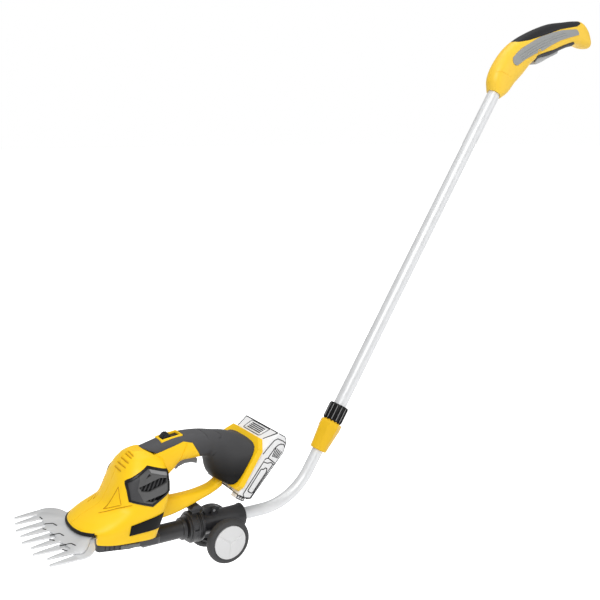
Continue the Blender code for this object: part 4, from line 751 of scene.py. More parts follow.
def pack_corner(side):
    """A block beyond the plane through three points: it slopes the pack's shoulder."""
    a = np.array((PACK_BACK, side * SHOULDER_HALF, SLOPE_LOW))
    b = np.array((PACK_BACK, side * PACK_HALF, SLOPE_LOW - CHAMFER))
    c = np.array((SLOPE_TOP + 1, side * PACK_HALF, PACK_TOP))
    normal = -side * np.cross(b - a, c - a)
    normal /= np.linalg.norm(normal)
    along = 60 * (b - a) / np.linalg.norm(b - a)
    wide = np.cross(normal, along)
    near = (a + b + c) / 3 + np.array([along + wide, wide - along, -along - wide, along - wide])
    return loft("corner", tilted(np.stack([near, near + normal * 60]), *DOCK))


def rail_room(side):
    """The T-shaped groove that takes the dock's rail."""
    y, web, lip = side * 19.0, 2.85, 5.85
    outline = [(-2, y - web), (4.15, y - web), (4.15, y - lip), (7.35, y - lip), (7.35, y + lip),
               (4.15, y + lip), (4.15, y + web), (-2, y + web)]
    return prism("rail_room", outline, -30, 46.85, "Z", DOCK)


print("the front edge slopes by", round(SLOPE_TILT, 1), "degrees")

# %% Case body
BUTTON = [(-5.6, -17.0), (5.2, -18.5), (5.2, 18.5), (-5.6, 17.0)]
case = prism("battery_pack", PACK, -PACK_HALF, PACK_HALF, "Y", DOCK)
case = bevelled(cut(case, pack_corner(-1), pack_corner(1)), 1.6, 4, 20)
case = cut(case, rail_room(-1), rail_room(1), block("contacts", (-2, -12, -30), (6, 12, 40), DOCK),
           prism("catch_room", grown(BUTTON, 0.35), -9.0, 60, "Z", SLOPE))
print("battery case:", len(case.polygons), "faces")


# %% Seams: thin inlays let into the white skin
def seam(path, width, lift=0.18):
    """A flat dark band along a path of (point, outward) pairs; it stands a little proud."""
    points = np.array([p for p, n in path], float)
    normals = unit(np.array([n for p, n in path], float))
    ahead = np.gradient(points, axis=0)
    side = unit(np.cross(ahead, normals))
    out, half = normals * lift, side * width / 2
    return np.stack([points - half + out, points + half + out, points + half - out * 2,
                     points - half - out * 2], 1)


def side_path(outline, side, y=PACK_HALF):
    """Points on the pack's flat side and the way outwards there, in the dock's frame."""
    return [((n, side * y, s), (0, side, 0)) for n, s in outline]


def inlay(name, paths, width, body="battery"):
    """Several seams as one dark piece; each path gives one closed band."""
    parts, faces, start = [], [], 0
    for path in paths:
        parts.append(tilted(seam(path, width), *DOCK).reshape(-1, 3))
        end = start + len(parts[-1])
        faces += (quads(len(path), 4) + start).tolist()
        faces += [list(range(start, start + 4))[::-1], list(range(end - 4, end))]
        start = end
    return piece(name, mesh_of(name, np.concatenate(parts), faces), body, PACK_LINE)


def around(points, radius=2.0):
    """A closed loop through points with rounded corners, its first point repeated."""
    loop = rounded_outline(points, radius)
    return np.vstack([loop, loop[:1]])


# %% [markdown]
# The line art shows a raised side rail with a long slot and a ribbed finger grip,
# and a hatched release button on the sloping front edge.

# %% The case as a piece
pack_piece = piece("battery_pack", case, "battery", PACK_WHITE, ("battery_case",), 30)

# %% Lines on the sides of the case
SIDE_LINES = [
    [(4.4, 46.0), (5.6, 51.0), (6.8, 56.1), (8.6, 62.0), (10.0, 66.1), (13.2, 69.6), (21.9, 70.1),
     (26.6, 69.0)],
    [(13.6, 44.2), (14.4, 50.0), (16.0, 59.0), (18.2, 63.4), (20.4, 65.6), (25.1, 67.0), (28.2, 64.5)],
    [(10.3, 41.1), (12.0, 43.6), (14.6, 44.5), (20.8, 43.6), (27.1, 42.5)],
    [(11.6, 38.2), (16.0, 38.8), (21.0, 41.6), (26.3, 40.4)],
    [(10.6, 40.0), (8.2, 17.0), (6.0, -5.2), (9.0, -7.6)],
    [(24.4, 41.0), (21.2, 18.0), (17.8, -5.6), (11.0, -7.9)]]
SLOT_LOOP = [(9.6, 0.1), (12.4, 29.9), (15.5, 30.2), (17.0, 33.2), (19.6, 33.0), (21.2, 29.8), (17.2, -0.1)]
GRIP_LINES = [[(18.2 + k * 1.9, 48.2 + k * 0.2), (17.2 + k * 2.5, 59.6 - k * 0.3)] for k in range(5)]
seams = [side_path(line, side) for side, name in SIDES
         for line in SIDE_LINES + [around(SLOT_LOOP)] + GRIP_LINES]
print(len(seams), "side seams")
inlay("pack_side_lines", seams, 1.15)

# %% [markdown]
# The drawn outline of the case follows its edges, so thin dark beads are set into
# the rounded edges. They read as the parting beads of a two-shell battery case.

# %% Beads along the case's edges
SIDE_EDGE = [(15.0, 37.4, -8.0), (19.0, 37.4, -5.8), (29.6, 37.4, 57.8), (27.5, 37.4, 67.6),
             (25.1, 37.4, 72.9), (21.3, 37.4, 75.4), (11.6, 37.2, 75.4)]
PAIRED_EDGES = [(1, [(0.9, 28.6, 61.4), (10.3, 36.2, 75.2)]), (-1, SIDE_EDGE),
                (-1, [(15.0, 37.4, -8.0), (1.6, 37.4, -8.0)])]


def bead(line):
    """A thin rod along a line in the dock's frame, with six steps to each stretch."""
    path = tilted(np.array(line), *DOCK)
    steps = (path[1:] - path[:-1])[:, None] * np.linspace(0, 1, 6, endpoint=False)[None, :, None]
    return swept("bead", np.vstack([(path[:-1, None] + steps).reshape(-1, 3), path[-1:]]), 0.75, 10)


edges = [[(10.3, 36.0, 75.6), (10.3, -36.0, 75.6)]]
edges += [np.array(line) * (1, side, 1) for first, line in PAIRED_EDGES for side in (first, -first)]
edges += [[(1.0, 37.2, -7.9), (1.0, -37.2, -7.9)]]
piece("pack_edge_beads", merged(*[bead(line) for line in edges]), "battery", PACK_LINE)

# %% The hatched release button and its frame
FRAME_LOOP = np.array([(-7.6, -18.6), (7.4, -20.4), (7.4, 20.4), (-7.6, 18.6)])


def slope_path(points, height=0.0):
    """Points on the sloping front edge, as (point, outward) pairs in the dock's frame."""
    turn = math.radians(SLOPE_TILT)
    out = np.array((math.sin(turn), 0.0, math.cos(turn)))
    up = np.array((math.cos(turn), 0.0, -math.sin(turn)))
    return [(SLOPE_MIDDLE + up * x + out * height + (0.0, y, 0.0), out) for x, y in points]


inlay("pack_slope_lines", [slope_path(around(FRAME_LOOP, 2.5))], 1.1)
button = bevelled(prism("button", BUTTON, -6.0, 0.5, "Z", SLOPE), 0.7, 3, 30)
button_piece = piece("hatched_button", button, "battery_catch", PACK_WHITE, ("battery_button",))
hatch = [slope_path([(x, -15.5), (x, 13.5)], 0.5) for x in (-4.2, -1.6, 1.0, 3.6)]
inlay("button_hatch", hatch, 1.5, "battery_catch")

# %% [markdown]
# Below the case hangs a small release lug with two grip lines.

# %% Release lug
lug = bevelled(block("lug", (2.0, -34.0, -13.6), (15.0, -22.0, -8.2), DOCK), 1.4, 3, 30)
piece("pack_lug", lug, "battery", PACK_WHITE)
LUG_LINES = [around([(3.0, -12.8), (14.0, -12.8), (14.0, -9.2), (3.0, -9.2)], 1.4),
             [(6.5, -12.6), (7.5, -9.4)], [(10.0, -12.6), (11.0, -9.4)]]
inlay("lug_lines", [side_path(line, -1, 34.0) for line in LUG_LINES], 1.0)

# %% [markdown]
# ## The wheels
# Each wheel is a rubber tyre on a dark hub with a white domed cap. The cap is
# pressed from one sheet of plastic: three flat lobes meet at creases that run out
# from the middle, which a height field over the disc gives in one formula.

# %% Tyre
WHEEL_R, TRACK_HALF, CAP_R = 27.0, 24.0, 20.2
AXLE = ((0.0, 0.0, WHEEL_R), 0.0)
TREAD = [(20.6, -6.0), (24.2, -6.0), (26.2, -4.4), (27.0, -2.0), (27.0, 2.0), (26.2, 4.4), (24.2, 6.0),
         (20.6, 6.0)]


def tyre(side, name, place):
    """The rubber tread of one wheel; side is -1 on the near side."""
    profile = rounded_outline([(r, side * h) for r, h in TREAD], 1.6, 5)
    tread = round_turned(name + "_tread", profile, "Y", 96, place, True)
    piece(name + "_tread", tread, "wheel_" + name, TYRE, (name + "_tyre",), 50)


print("track between the wheels' middles:", 2 * TRACK_HALF, "mm")


# %% Cap
def cap_height(r, a):
    """Dome 1 - (r/R)^2, plus a swell in each third, less a groove exp(-(d/w)^2) at each crease."""
    third = 2 * np.pi / 3
    turn = np.mod(a - math.radians(68), third)
    off = np.minimum(turn, third - turn)
    share = np.clip(r / CAP_R, 0, 1)
    swell = 1.5 * np.sin(np.pi * turn / third) ** 0.6 * share * (1 - share ** 2)
    groove = 0.75 * np.exp(-(r * np.sin(np.minimum(off, np.pi / 2)) / 0.8) ** 2) * (1 - share ** 6)
    return 2.0 * (1 - share ** 2) + swell - groove


def cap(side, name, place):
    """The white cap: rings of points over the disc, closed by a rim and a flat back."""
    a = circle(360)[None, :]
    r = np.array([0.3, 1.5, 3, 5, 7.5, 10, 12.5, 15, 17, 18.6, 19.6, CAP_R])[:, None]
    h = np.vstack([6.3 + cap_height(r, a), 0 * a + 5.4, 0 * a + 3.0])
    r = np.vstack([r, [[CAP_R]], [[CAP_R]]])
    rings = np.stack([r * np.sin(a), side * h, r * np.cos(a)], -1) + np.array(place[0])
    return piece(name + "_dome", loft(name + "_dome", rings[::-1]), "wheel_" + name, CAP_WHITE,
                 (name + "_cap",), 22)


for side, name in SIDES:
    middle = ((0.0, side * TRACK_HALF, WHEEL_R), 0.0)
    tyre(side, name, middle)
    cap(side, name, middle)

# %% [markdown]
# ## The shear blades
# Two flat steel blades lie on each other: a fixed comb with five teeth, and a
# swinging blade with four. Their front edges follow an arc, and every edge is ground,
# which a narrow bevel shows as a bright line.

# %% Blade outlines
TIP_X, TIP_ARC, ROOT_X, TIP_W, ROOT_HALF = -230.0, 205.0, -199.5, 3.3, 5.6
COMB_Z, BLADE_T = 80.2, 1.8
PIVOT_X, GEAR_X, BLADE_REST, PIN_BORE = -150.0, -122.0, 3.4, 3.3
PIVOT, CRANK = ((PIVOT_X, 0, 0), 0.0), ((GEAR_X, 0, 0), 0.0)
BLADE_Z = COMB_Z + BLADE_T + GAP


def toothed_edge(count, pitch, widest, shorter=0.0):
    """Root, shoulder and tip points of the teeth: x = TIP_X + R - sqrt(R^2 - y^2) at each tip."""
    y = (np.arange(count) - (count - 1) / 2) * pitch
    tip = TIP_X + TIP_ARC - np.sqrt(TIP_ARC ** 2 - y ** 2) + shorter
    root = ROOT_X + (tip - shorter - TIP_X) * 0.55
    low, high, half, quarter = y - ROOT_HALF, y + ROOT_HALF, TIP_W / 2, TIP_W / 4
    rows = [(root + 1.6, np.maximum(low - 1.2, -widest)), (root, np.maximum(low, -widest)),
            (tip + 14, y - TIP_W * 1.15), (tip + 1.2, y - half), (tip, y - quarter), (tip, y + quarter),
            (tip + 1.2, y + half), (tip + 14, y + TIP_W * 1.15), (root, np.minimum(high, widest)),
            (root + 1.6, np.minimum(high + 1.2, widest))]
    return np.stack([np.stack(r, -1) for r in rows], 1).reshape(-1, 2)


def plate_outline(teeth, side):
    """A toothed edge closed by a side line and its mirror image."""
    return np.vstack([teeth, side, np.array(side)[::-1] * (1, -1)])


def turned(points, angle, centre):
    """Plan points turned about a vertical axis by an angle in degrees."""
    p, a = np.asarray(points, float) - (centre, 0), math.radians(angle)
    return p @ np.array([[math.cos(a), math.sin(a)], [-math.sin(a), math.cos(a)]]) + (centre, 0)


print("points on the comb's toothed edge:", len(toothed_edge(5, 30.8, 66)))

# %% The fixed comb
COMB_SIDE = [(-193, 66), (-189, 67), (-186, 67), (-181.5, 65.8), (-178, 63.5), (-174.6, 60), (-172, 56.5),
             (-169.6, 51), (-168, 45), (-164, 33), (-158, 30), (-140, 26), (-112, 18)]
comb = prism("comb", plate_outline(toothed_edge(5, 30.8, 66), COMB_SIDE), COMB_Z, COMB_Z + BLADE_T)
comb = cut(comb, drill(PIN_BORE, COMB_Z - 4, COMB_Z + 4, place=PIVOT),
           block("slot", (GEAR_X - 7, -7, COMB_Z - 4), (GEAR_X + 7, 7, COMB_Z + 4)))
piece("ground_comb", bevelled(comb, 0.5, 2, 30), "head", BLADE, ("fixed_comb",))

# %% The swinging blade
BLADE_SIDE = [(-190, 57), (-186, 55), (-182, 51.5), (-177, 44.5), (-172, 36), (-160, 24), (-140, 14),
              (-110, 9)]
outline = turned(plate_outline(toothed_edge(4, 31.5, 60, 2.0), BLADE_SIDE), BLADE_REST, PIVOT_X)
blade = prism("blade", outline, BLADE_Z, BLADE_Z + BLADE_T)
crank_slot = turned([(-127.4, -2.7), (-116.6, -2.7), (-116.6, 2.7), (-127.4, 2.7)], BLADE_REST, PIVOT_X)
blade = cut(blade, prism("crank", crank_slot, BLADE_Z - 4, BLADE_Z + 4),
            drill(PIN_BORE, BLADE_Z - 4, BLADE_Z + 4, place=PIVOT))
piece("ground_blade", bevelled(blade, 0.6, 2, 30), "blade", BLADE, ("moving_blade",))

# %% Painted shade: kinked dark lines in the gaps near the roots
ROOT_SHADE_LINES = [[(-198.3, 23.7), (-190.5, 20.2), (-188.6, 12.5)],
           [(-201.8, -4.5), (-191.9, -6.6), (-190.0, -14.0)],
           [(-200.5, -32.5), (-189.1, -34.7), (-186.9, -41.4)], [(-197.6, 43.0), (-196.9, 37.0)],
           [(-203.3, 13.7), (-201.2, 9.8)], [(-204.9, -13.4), (-201.3, -19.0)],
           [(-200.7, -42.0), (-197.7, -47.6)]]
# Black rods laid on top of the swinging blade paint the dark shade seen in the gaps between the blades.
root_shade_rods = [swept("root_shade", even([(x, y, BLADE_Z + BLADE_T) for x, y in line], 14), 0.62, 8)
           for line in ROOT_SHADE_LINES]
piece("blade_root_shade", merged(*root_shade_rods), "blade", BLACK)

# %% [markdown]
# ## Under the nose
# A black guard rim closes the gap between the yellow nose and the blades; it is thicker than the guard
# itself, so that it also paints the shadow under the nose. The dark sole carries the whole head. Both are
# mouldings with rounded edges.

# %% Guard rim
RIM_Z, RIM_FRONT = 86.0, -163.5
rings = body_rings(0.9, 400, 240)
front = rings[np.argmin(np.abs(rings[:, 0, 2] - RIM_Z))]
front = front[front[:, 0] < RIM_FRONT]
rim_path = even(front[np.argsort(front[:, 1])], 60)
# Partly the black guard and partly painted shadow: the rod is thick enough to cover the shadowed lower edge
# of the yellow nose.
piece("guard_rim_and_shade", swept("guard_rim_and_shade", rim_path, 1.9, 14), "head", BLACK)

# %% Sole
def side_block(name, x, y, z, side, place):
    """A block between pairs of x, of distances y from the middle, and of z, on one side."""
    low, high = sorted((side * y[0], side * y[1]))
    return block(name, (x[0], low, z[0]), (x[1], high, z[1]), place)


SOLE_OUT = [(2, -33), (4, -36), (40, -36.5), (44, -35), (74, -33), (78, -28), (78, 28), (74, 33), (44, 35),
            (40, 36.5), (4, 36), (2, 33)]
sole = bevelled(prism("sole", rounded_outline(SOLE_OUT, 4.0, 5), 0, 8.5, "Z", SOLE), 1.2, 3, 40)
pads = [side_block("pad", (27.0, 50.0), (29.6, 44), (1.3, 7.2), side, SOLE) for side, name in SIDES]
grooves = [side_block("groove", (x, x + 1.4), (35.2, 44), (-1.0, 6.4), side, SOLE)
           for side, name in SIDES for x in (10.0, 15.0, 20.0, 56.0, 61.0)]
seat = prism("seat", [(-162, -32), (-162, 32), (-150, 33), (-112, 31), (-112, -31), (-150, -33)], 58,
             COMB_Z - GAP)
seat = cut(seat, block("under", (-30, -60, -60), (120, 60, 0.4), SOLE))
sole = merged(cut(sole, *pads, *grooves), seat)
sole = cut(sole, plug_hole, drill(6.0, 50, 90, place=PIVOT), drill(7.0, 50, 90, place=CRANK))
piece("moulded_sole", sole, "head", SOLE_GREY, ("sole_plate",))

# %% Blade release pads, each with a raised grip line
for side, name in SIDES:
    pad = bevelled(side_block("pad", (27.5, 49.5), (34.6, 38.4), (2.0, 6.5), side, SOLE), 0.9, 3, 40)
    bars = [swept("bar", tilted([(x, side * 38.3, 2.9), (x, side * 38.3, 5.6)], *SOLE), 0.5, 8)
            for x in (32.0, 35.0, 38.0)]
    piece(f"release_pad_{name}", merged(pad, *bars), f"release_{name}", TRIGGER_GREY,
          (f"blade_release_{name}",))

# %% [markdown]
# ## The tubes and the twist clamp
# The tubes are drawn aluminium. The yellow collar has soft flats that end in clear
# edges, and the knob has thin raised ribs, so that wet hands can turn it.

# %% The lower tube's path
LOWER_R, UPPER_R, WALL_T, BEND_R = 7.4, 8.5, 0.8, 78.0
dip, climb = math.radians(SLEEVE_PITCH), math.radians(POLE_ANGLE)
ahead = np.array([math.cos(dip), 0, -math.sin(dip)])
pole = np.array([math.cos(climb), 0, math.sin(climb)])
start, clamp = np.array(SLEEVE[0]), np.array(CLAMP[0])
between = clamp - start
reach = (between[2] * pole[0] - between[0] * pole[2]) / (ahead[2] * pole[0] - ahead[0] * pole[2])
turn = math.radians(POLE_ANGLE + SLEEVE_PITCH)
first = start + ahead * reach - ahead * BEND_R * math.tan(turn / 2)
centre = first + np.array([-ahead[2], 0, ahead[0]]) * BEND_R
bend = np.linspace(0, turn, 40) - dip
arc = centre + np.stack([np.sin(bend), 0 * bend, -np.cos(bend)], -1) * BEND_R
lower_path = np.vstack([[start - ahead * 2.0], [start + ahead * 20.0], arc, [clamp + pole * 60.0],
                        [clamp + pole * 228.0]])
print("the bend turns by", round(math.degrees(turn), 1), "degrees")


# %% Lower and upper tube
def tube(name, path, radius):
    """A tube along a path: a rod with a longer, thinner rod taken out of it."""
    longer = np.vstack([path[:1] - 5 * ahead, path, path[-1:] + 5 * pole])
    return cut(swept(name, path, radius, 64), swept("bore", longer, radius - WALL_T, 64))


piece("drawn_lower_tube", tube("lower", lower_path, LOWER_R), "pole_lower", TUBE, ("lower_tube",))
upper = [(UPPER_R, 18.0), (UPPER_R, 581.5), (UPPER_R - WALL_T, 581.5), (UPPER_R - WALL_T, 18.0)]
piece("drawn_upper_tube", round_turned("upper", upper, "Z", 96, CLAMP, True), "pole_upper", TUBE,
      ("upper_tube",))

# %% Collar with soft flats
COLLAR = [(7.75, 0.0), (10.2, 0.0), (11.0, 1.4), (11.5, 9.0), (13.1, 28.5), (13.5, 30.5), (13.6, 37.5),
          (13.0, 39.4), (12.0, 40.0), (10.5, 40.0), (10.5, 48.0), (8.8, 48.0), (8.8, 17.6), (9.4, 17.4),
          (9.4, 1.6), (7.75, 1.6)]


def shaped_ring(name, radius, heights, angles, place):
    """A closed ring from a table of radii, a row for each height and a column for each angle."""
    rings = np.stack([radius * np.cos(angles), radius * np.sin(angles),
                      np.broadcast_to(heights[:, None], radius.shape)], -1)
    return loft(name, tilted(rings, *place), True)


def flat_sided(name, profile, sides, depth, first, place, steps=192):
    """A turned ring whose outside has flats: r times a blend of 1 and 0.985 / cos(angle)."""
    r, h = np.array(profile).T
    a = circle(steps)
    half = np.pi / sides
    off = np.mod(a - math.radians(first), 2 * half) - half
    share = np.clip((r - 10.9) / 1.5, 0, 1)[:, None] * depth
    return shaped_ring(name, r[:, None] * (1 + share * (0.985 / np.cos(off) - 1)), h, a, place)


piece("flat_collar", flat_sided("collar", COLLAR, 7, 0.9, 18.0, CLAMP), "pole_upper", COLLAR_YELLOW,
      ("clamp_collar",), 24)

# %% Ribbed knob
KNOB = [(8.85, 40.3), (11.4, 40.3), (12.5, 41.4), (12.75, 42.5), (12.75, 61.4), (12.4, 62.6), (11.2, 63.3),
        (8.85, 63.3)]


def ribbed(name, profile, ribs, depth, place, steps=416):
    """A turned ring with raised ribs: r falls by depth times 1 - exp(-(s/w)^4) between them."""
    r, h = np.array(profile).T
    a = circle(steps)
    s = np.mod(a * ribs / (2 * np.pi), 1.0)
    s = np.minimum(s, 1 - s)
    drop = depth * (1 - np.exp(-(s / 0.17) ** 4))
    outside = np.clip((r - 9.5) / 2.5, 0, 1)[:, None]
    return shaped_ring(name, r[:, None] - outside * drop, h, a, place)


RIBS, CROWN_R = 13, 12.7
piece("ribbed_knob", ribbed("knob", KNOB, RIBS, 1.9, CLAMP), "knob", KNOB_BLACK, ("clamp_knob",), 30)
# Light grey rods on the rib crowns paint the highlights that the black ribs catch.
rib_highlight_lines = [[(CROWN_R * math.cos(a), CROWN_R * math.sin(a), h) for h in (42.6, 52.0, 61.2)]
               for a in 2 * np.pi * np.arange(RIBS) / RIBS]
rib_highlight_rods = [swept("rib_highlight", tilted(line, *CLAMP), 0.42, 8) for line in rib_highlight_lines]
piece("knob_rib_highlights", merged(*rib_highlight_rods), "knob", RIB_HIGHLIGHT_GREY)

# %% [markdown]
# ## The wheel carrier
# One black moulding joins the sleeve for the tube, the stepped ring in which the head's
# plug turns, and the axle boss. Its edges are rounded, and two beads mark the ring.

# %% Carrier body
RING = [(7.85, -43.6), (15.6, -43.6), (16.2, -43.0), (16.2, -41.2), (17.9, -40.8), (18.5, -40.0),
        (18.5, -35.2), (17.9, -34.6), (17.9, -33.6), (18.5, -33.0), (18.5, -27.0), (18.0, -25.6),
        (17.0, -25.0), (13.4, -25.0), (13.0, -24.4), (13.0, 20.0), (13.2, 27.0), (13.9, 28.6), (14.1, 30.0),
        (14.1, 31.4), (13.5, 32.0), (7.85, 32.0)]
boss = round_turned("boss", [(7.5, -17.6), (7.5, 17.6)], "Y", 64, AXLE)
web = prism("web", [(-15, 39.9), (-7.5, 27.0), (7.5, 27.0), (15, 39.9)], -10, 10, "Y")
ears = [prism("ear", [(-12.5, 10), (-5.5, 10), (-6.5, 19.5), (-11.5, 19.5)], y - 1.1, y + 1.1, "Y", SLEEVE)
        for y in (-5.6, 5.6)]
carrier = merged(round_turned("carrier", RING, "X", 96, SLEEVE, True), boss, web, *ears)
carrier = cut(carrier, drill(PIN_BORE, -40, 40, "Y", 48, AXLE), drill(7.86, -50, 40, "X", 64, SLEEVE),
              block("pocket", (-37.85, -5.85, 10.5), (-27.15, 5.85, 40), SLEEVE),
              block("slot", (-20.4, -3.6, 0), (-11.6, 3.6, 30), SLEEVE),
              *[side_block("window", (-39.4, -33.6), (16.4, 21), (1.5, 9.8), side, SLEEVE)
                for side, name in SIDES])
piece("moulded_carrier", bevelled(carrier, 0.4, 2, 40), "pole_lower", CHARCOAL, ("wheel_carrier",))
rings = [round_turned("bead", [(18.2, x - 0.7), (18.9, x - 0.4), (18.9, x + 0.4), (18.2, x + 0.7), (17.6, x)],
                      "X", 96, SLEEVE, True) for x in (-31.0, -29.0)]
piece("ring_beads", merged(*rings), "pole_lower", BLACK)

# %% Plug tube
PLUG = [(10.5, -98.0), (10.5, -52.0), (11.0, -50.6), (12.8, -50.1), (13.1, -49.6), (13.1, -46.2),
        (12.6, -45.6), (7.5, -45.6), (7.5, -18.5), (6.1, -18.5), (6.1, -13.5), (7.5, -13.5), (7.5, -7.0),
        (6.5, -6.0)]
piece("turned_plug", round_turned("plug", PLUG, "X", 96, SLEEVE), "head", CHARCOAL, ("pole_plug",))

# %% Swivel button with a rounded, ridged top
button = prism("button", rounded_outline([(-39.5, 21.6), (-25.5, 21.6), (-25.5, 24.5), (-28.5, 28.0),
                                          (-35.5, 28.0), (-39.5, 23.6)], 1.8, 5), -7.5, 7.5, "Y", SLEEVE)
button = bevelled(button, 1.2, 3, 50)
stem = cut(block("stem", (-37.5, -5.5, 13.5), (-27.5, 5.5, 22.2), SLEEVE),
           drill(3.2, 8.0, 21.5, place=(tuple(tilted([-32.5, 0, 0], *SLEEVE)), SLEEVE_PITCH)))
ridges = [swept("ridge", tilted([(x, -5.5, 27.9), (x, 5.5, 27.9)], *SLEEVE), 0.5, 8)
          for x in (-34.0, -32.0, -30.0)]
piece("ridged_button", merged(button, stem, *ridges), "swivel_catch", CHARCOAL, ("swivel_button",))

# %% [markdown]
# ## The top handle
# Two yellow shells meet at the middle, with a dark soft grip on top, a grey ribbed panel
# on each side and a dark finger rest beneath.

# %% Handle surfaces
HANDLE = [((428.4, 554.9), (446.4, 543.1), 10.8, 2.0), ((427.4, 568.9), (458.5, 550.5), 12.5, 2.4),
          ((435.3, 586.1), (470.0, 563.0), 13.5, 2.6), ((452.5, 606.5), (486.0, 576.5), 14.2, 2.6),
          ((472.9, 621.2), (500.0, 590.0), 14.5, 2.6), ((495.1, 631.9), (515.0, 598.5), 14.5, 2.6),
          ((520.2, 641.3), (537.0, 603.5), 14.5, 2.6), ((542.8, 647.7), (558.0, 611.0), 14.5, 2.6),
          ((566.5, 651.1), (578.0, 617.5), 14.5, 2.6), ((588.0, 654.0), (597.0, 620.0), 14.5, 2.6),
          ((602.0, 654.0), (612.0, 617.5), 14.0, 2.6), ((611.0, 648.0), (624.0, 617.5), 12.5, 2.6),
          ((617.5, 637.0), (627.0, 621.0), 9.5, 2.6)]
TOP_GRIP = [(452.0, 680.0), (455.0, 624.0), (472.0, 618.8), (487.8, 621.5), (513.7, 628.5), (550.5, 639.5),
            (586.8, 646.0), (597.0, 650.5), (600.0, 680.0)]
HAND_PANEL = [(456.8, 596.5), (464.5, 603.6), (473.3, 610.0), (490.4, 618.5), (508.1, 626.5), (526.0, 632.5),
              (553.7, 638.5), (584.5, 641.5), (590.5, 634.4), (573.9, 630.6), (551.4, 624.8), (533.0, 617.6),
              (516.9, 609.8), (497.2, 602.9), (480.0, 595.6), (464.3, 586.3), (457.4, 589.6)]
FINGER = [(507.0, 601.6), (514.4, 604.2), (525.0, 607.4), (537.7, 610.6), (548.0, 614.0), (558.5, 617.8),
          (570.0, 621.2), (581.0, 624.2), (586.0, 622.4), (584.0, 612.0), (540.0, 590.0), (506.0, 580.0)]
HAND_SLOT = [(508.0, 585.0), (562.0, 602.0), (562.0, 621.0), (556.0, 626.0), (545.0, 629.0), (541.0, 634.0),
             (518.0, 625.0), (512.0, 612.0), (508.0, 606.0)]


def handle_skin(inset=0.0):
    """The handle's outer surface, drawn in by an inset."""
    return side_loft("handle", HANDLE, 110, 96, inset)


print(len(HANDLE), "handle stations")

# %% Yellow shells with the neck crease and the parting line
slot = across("slot", HAND_SLOT, 6.6)
tube_hole = drill(8.8, 400, 582.0, "Z", 64, CLAMP)
shell = score(handle_skin(), [[(429.0, -9.0, 579.0), (440.0, -13.4, 577.5), (455.0, -13.0, 571.0)]], 0.5)
shell = cut(shell, cut(block("parting", (420, -0.2, 540), (630, 0.2, 660)), handle_skin(0.6)),
            across("grip_room", grown(TOP_GRIP, GAP)), slot, tube_hole,
            across("finger_room", grown(FINGER, GAP)))
piece("handle_shell", bevelled(shell, 0.4, 2, 40), "pole_upper", PALE_YELLOW, ("handle_left", "handle_right"))

# %% Soft top grip and finger rest
grip = common(handle_skin(0.25), across("grip", TOP_GRIP))
GRIP_TICKS = [[(x, -7.0, z), (x + 1.5, -11.2, z - 3.0)]
              for x, z in ((530.0, 648.0), (534.5, 649.0), (539.0, 650.0))]
grip = score(grip, GRIP_TICKS, 0.45)
piece("soft_top_grip", bevelled(grip, 0.7, 3, 40), "pole_upper", TOP_SOFT, ("top_grip",))
finger = cut(common(handle_skin(-0.4), across("finger", FINGER)), slot, tube_hole)
piece("finger_rest", bevelled(finger, 0.5, 2, 40), "pole_upper", TOP_SOFT)

# %% The grey trigger of the handle
TRIGGER = [(521.0, 606.0), (515.5, 601.5), (510.8, 594.4), (513.0, 590.8), (522.0, 593.8), (536.5, 600.0),
           (549.0, 604.6), (556.6, 607.8), (558.5, 612.0), (556.0, 619.5), (548.0, 621.0), (526.0, 611.5)]
pivot_hole = drill(1.55, -20, 20, "Y", 32, ((551.0, 0, 616.0), 0.0))
lever = bevelled(cut(across("lever", TRIGGER, 6.0), pivot_hole), 0.9, 3, 30)
piece("hand_trigger", lever, "hand_trigger", LEVER_GREY, ("handle_trigger",))

# %% Grey side panels with long ribs
PANEL_RIBS = [[(468.0, 599.5), (490.0, 611.0), (512.0, 620.4), (535.0, 628.4), (560.0, 634.6)],
              [(470.0, 596.6), (492.0, 608.2), (514.0, 617.6), (537.0, 625.8), (562.0, 632.2)],
              [(472.0, 593.8), (494.0, 605.4), (515.0, 614.4), (530.0, 620.2)]]
SCREW = [(0.4, 0.1), (1.6, 0.1), (1.6, 0.5), (2.7, 0.7), (3.0, 0.2), (3.0, -1.6), (0.4, -1.6)]
for side, name in SIDES:
    panel = common(sided("panel", rounded_outline(HAND_PANEL, 3.0, 4), side, 5, 40), handle_skin(-0.9))
    panel = cut(panel, handle_skin(-0.05), across("grip_room", grown(TOP_GRIP, GAP)))
    panel = score(panel, [[(x, side * 15.2, z) for x, z in line] for line in PANEL_RIBS], 0.45, False)
    piece(f"side_panel_{name}", bevelled(panel, 0.3, 2, 40), "pole_upper", PANEL_GREY,
          (f"handle_panel_{name}",))
    place = ((508.0, side * 14.6, 607.8), 0.0)
    head = round_turned("screw", [(r, side * h) for r, h in SCREW], "Y", 40, place)
    piece(f"screw_{name}", head, "pole_upper", COLLAR_YELLOW)

# %% [markdown]
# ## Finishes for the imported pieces
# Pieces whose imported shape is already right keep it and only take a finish.

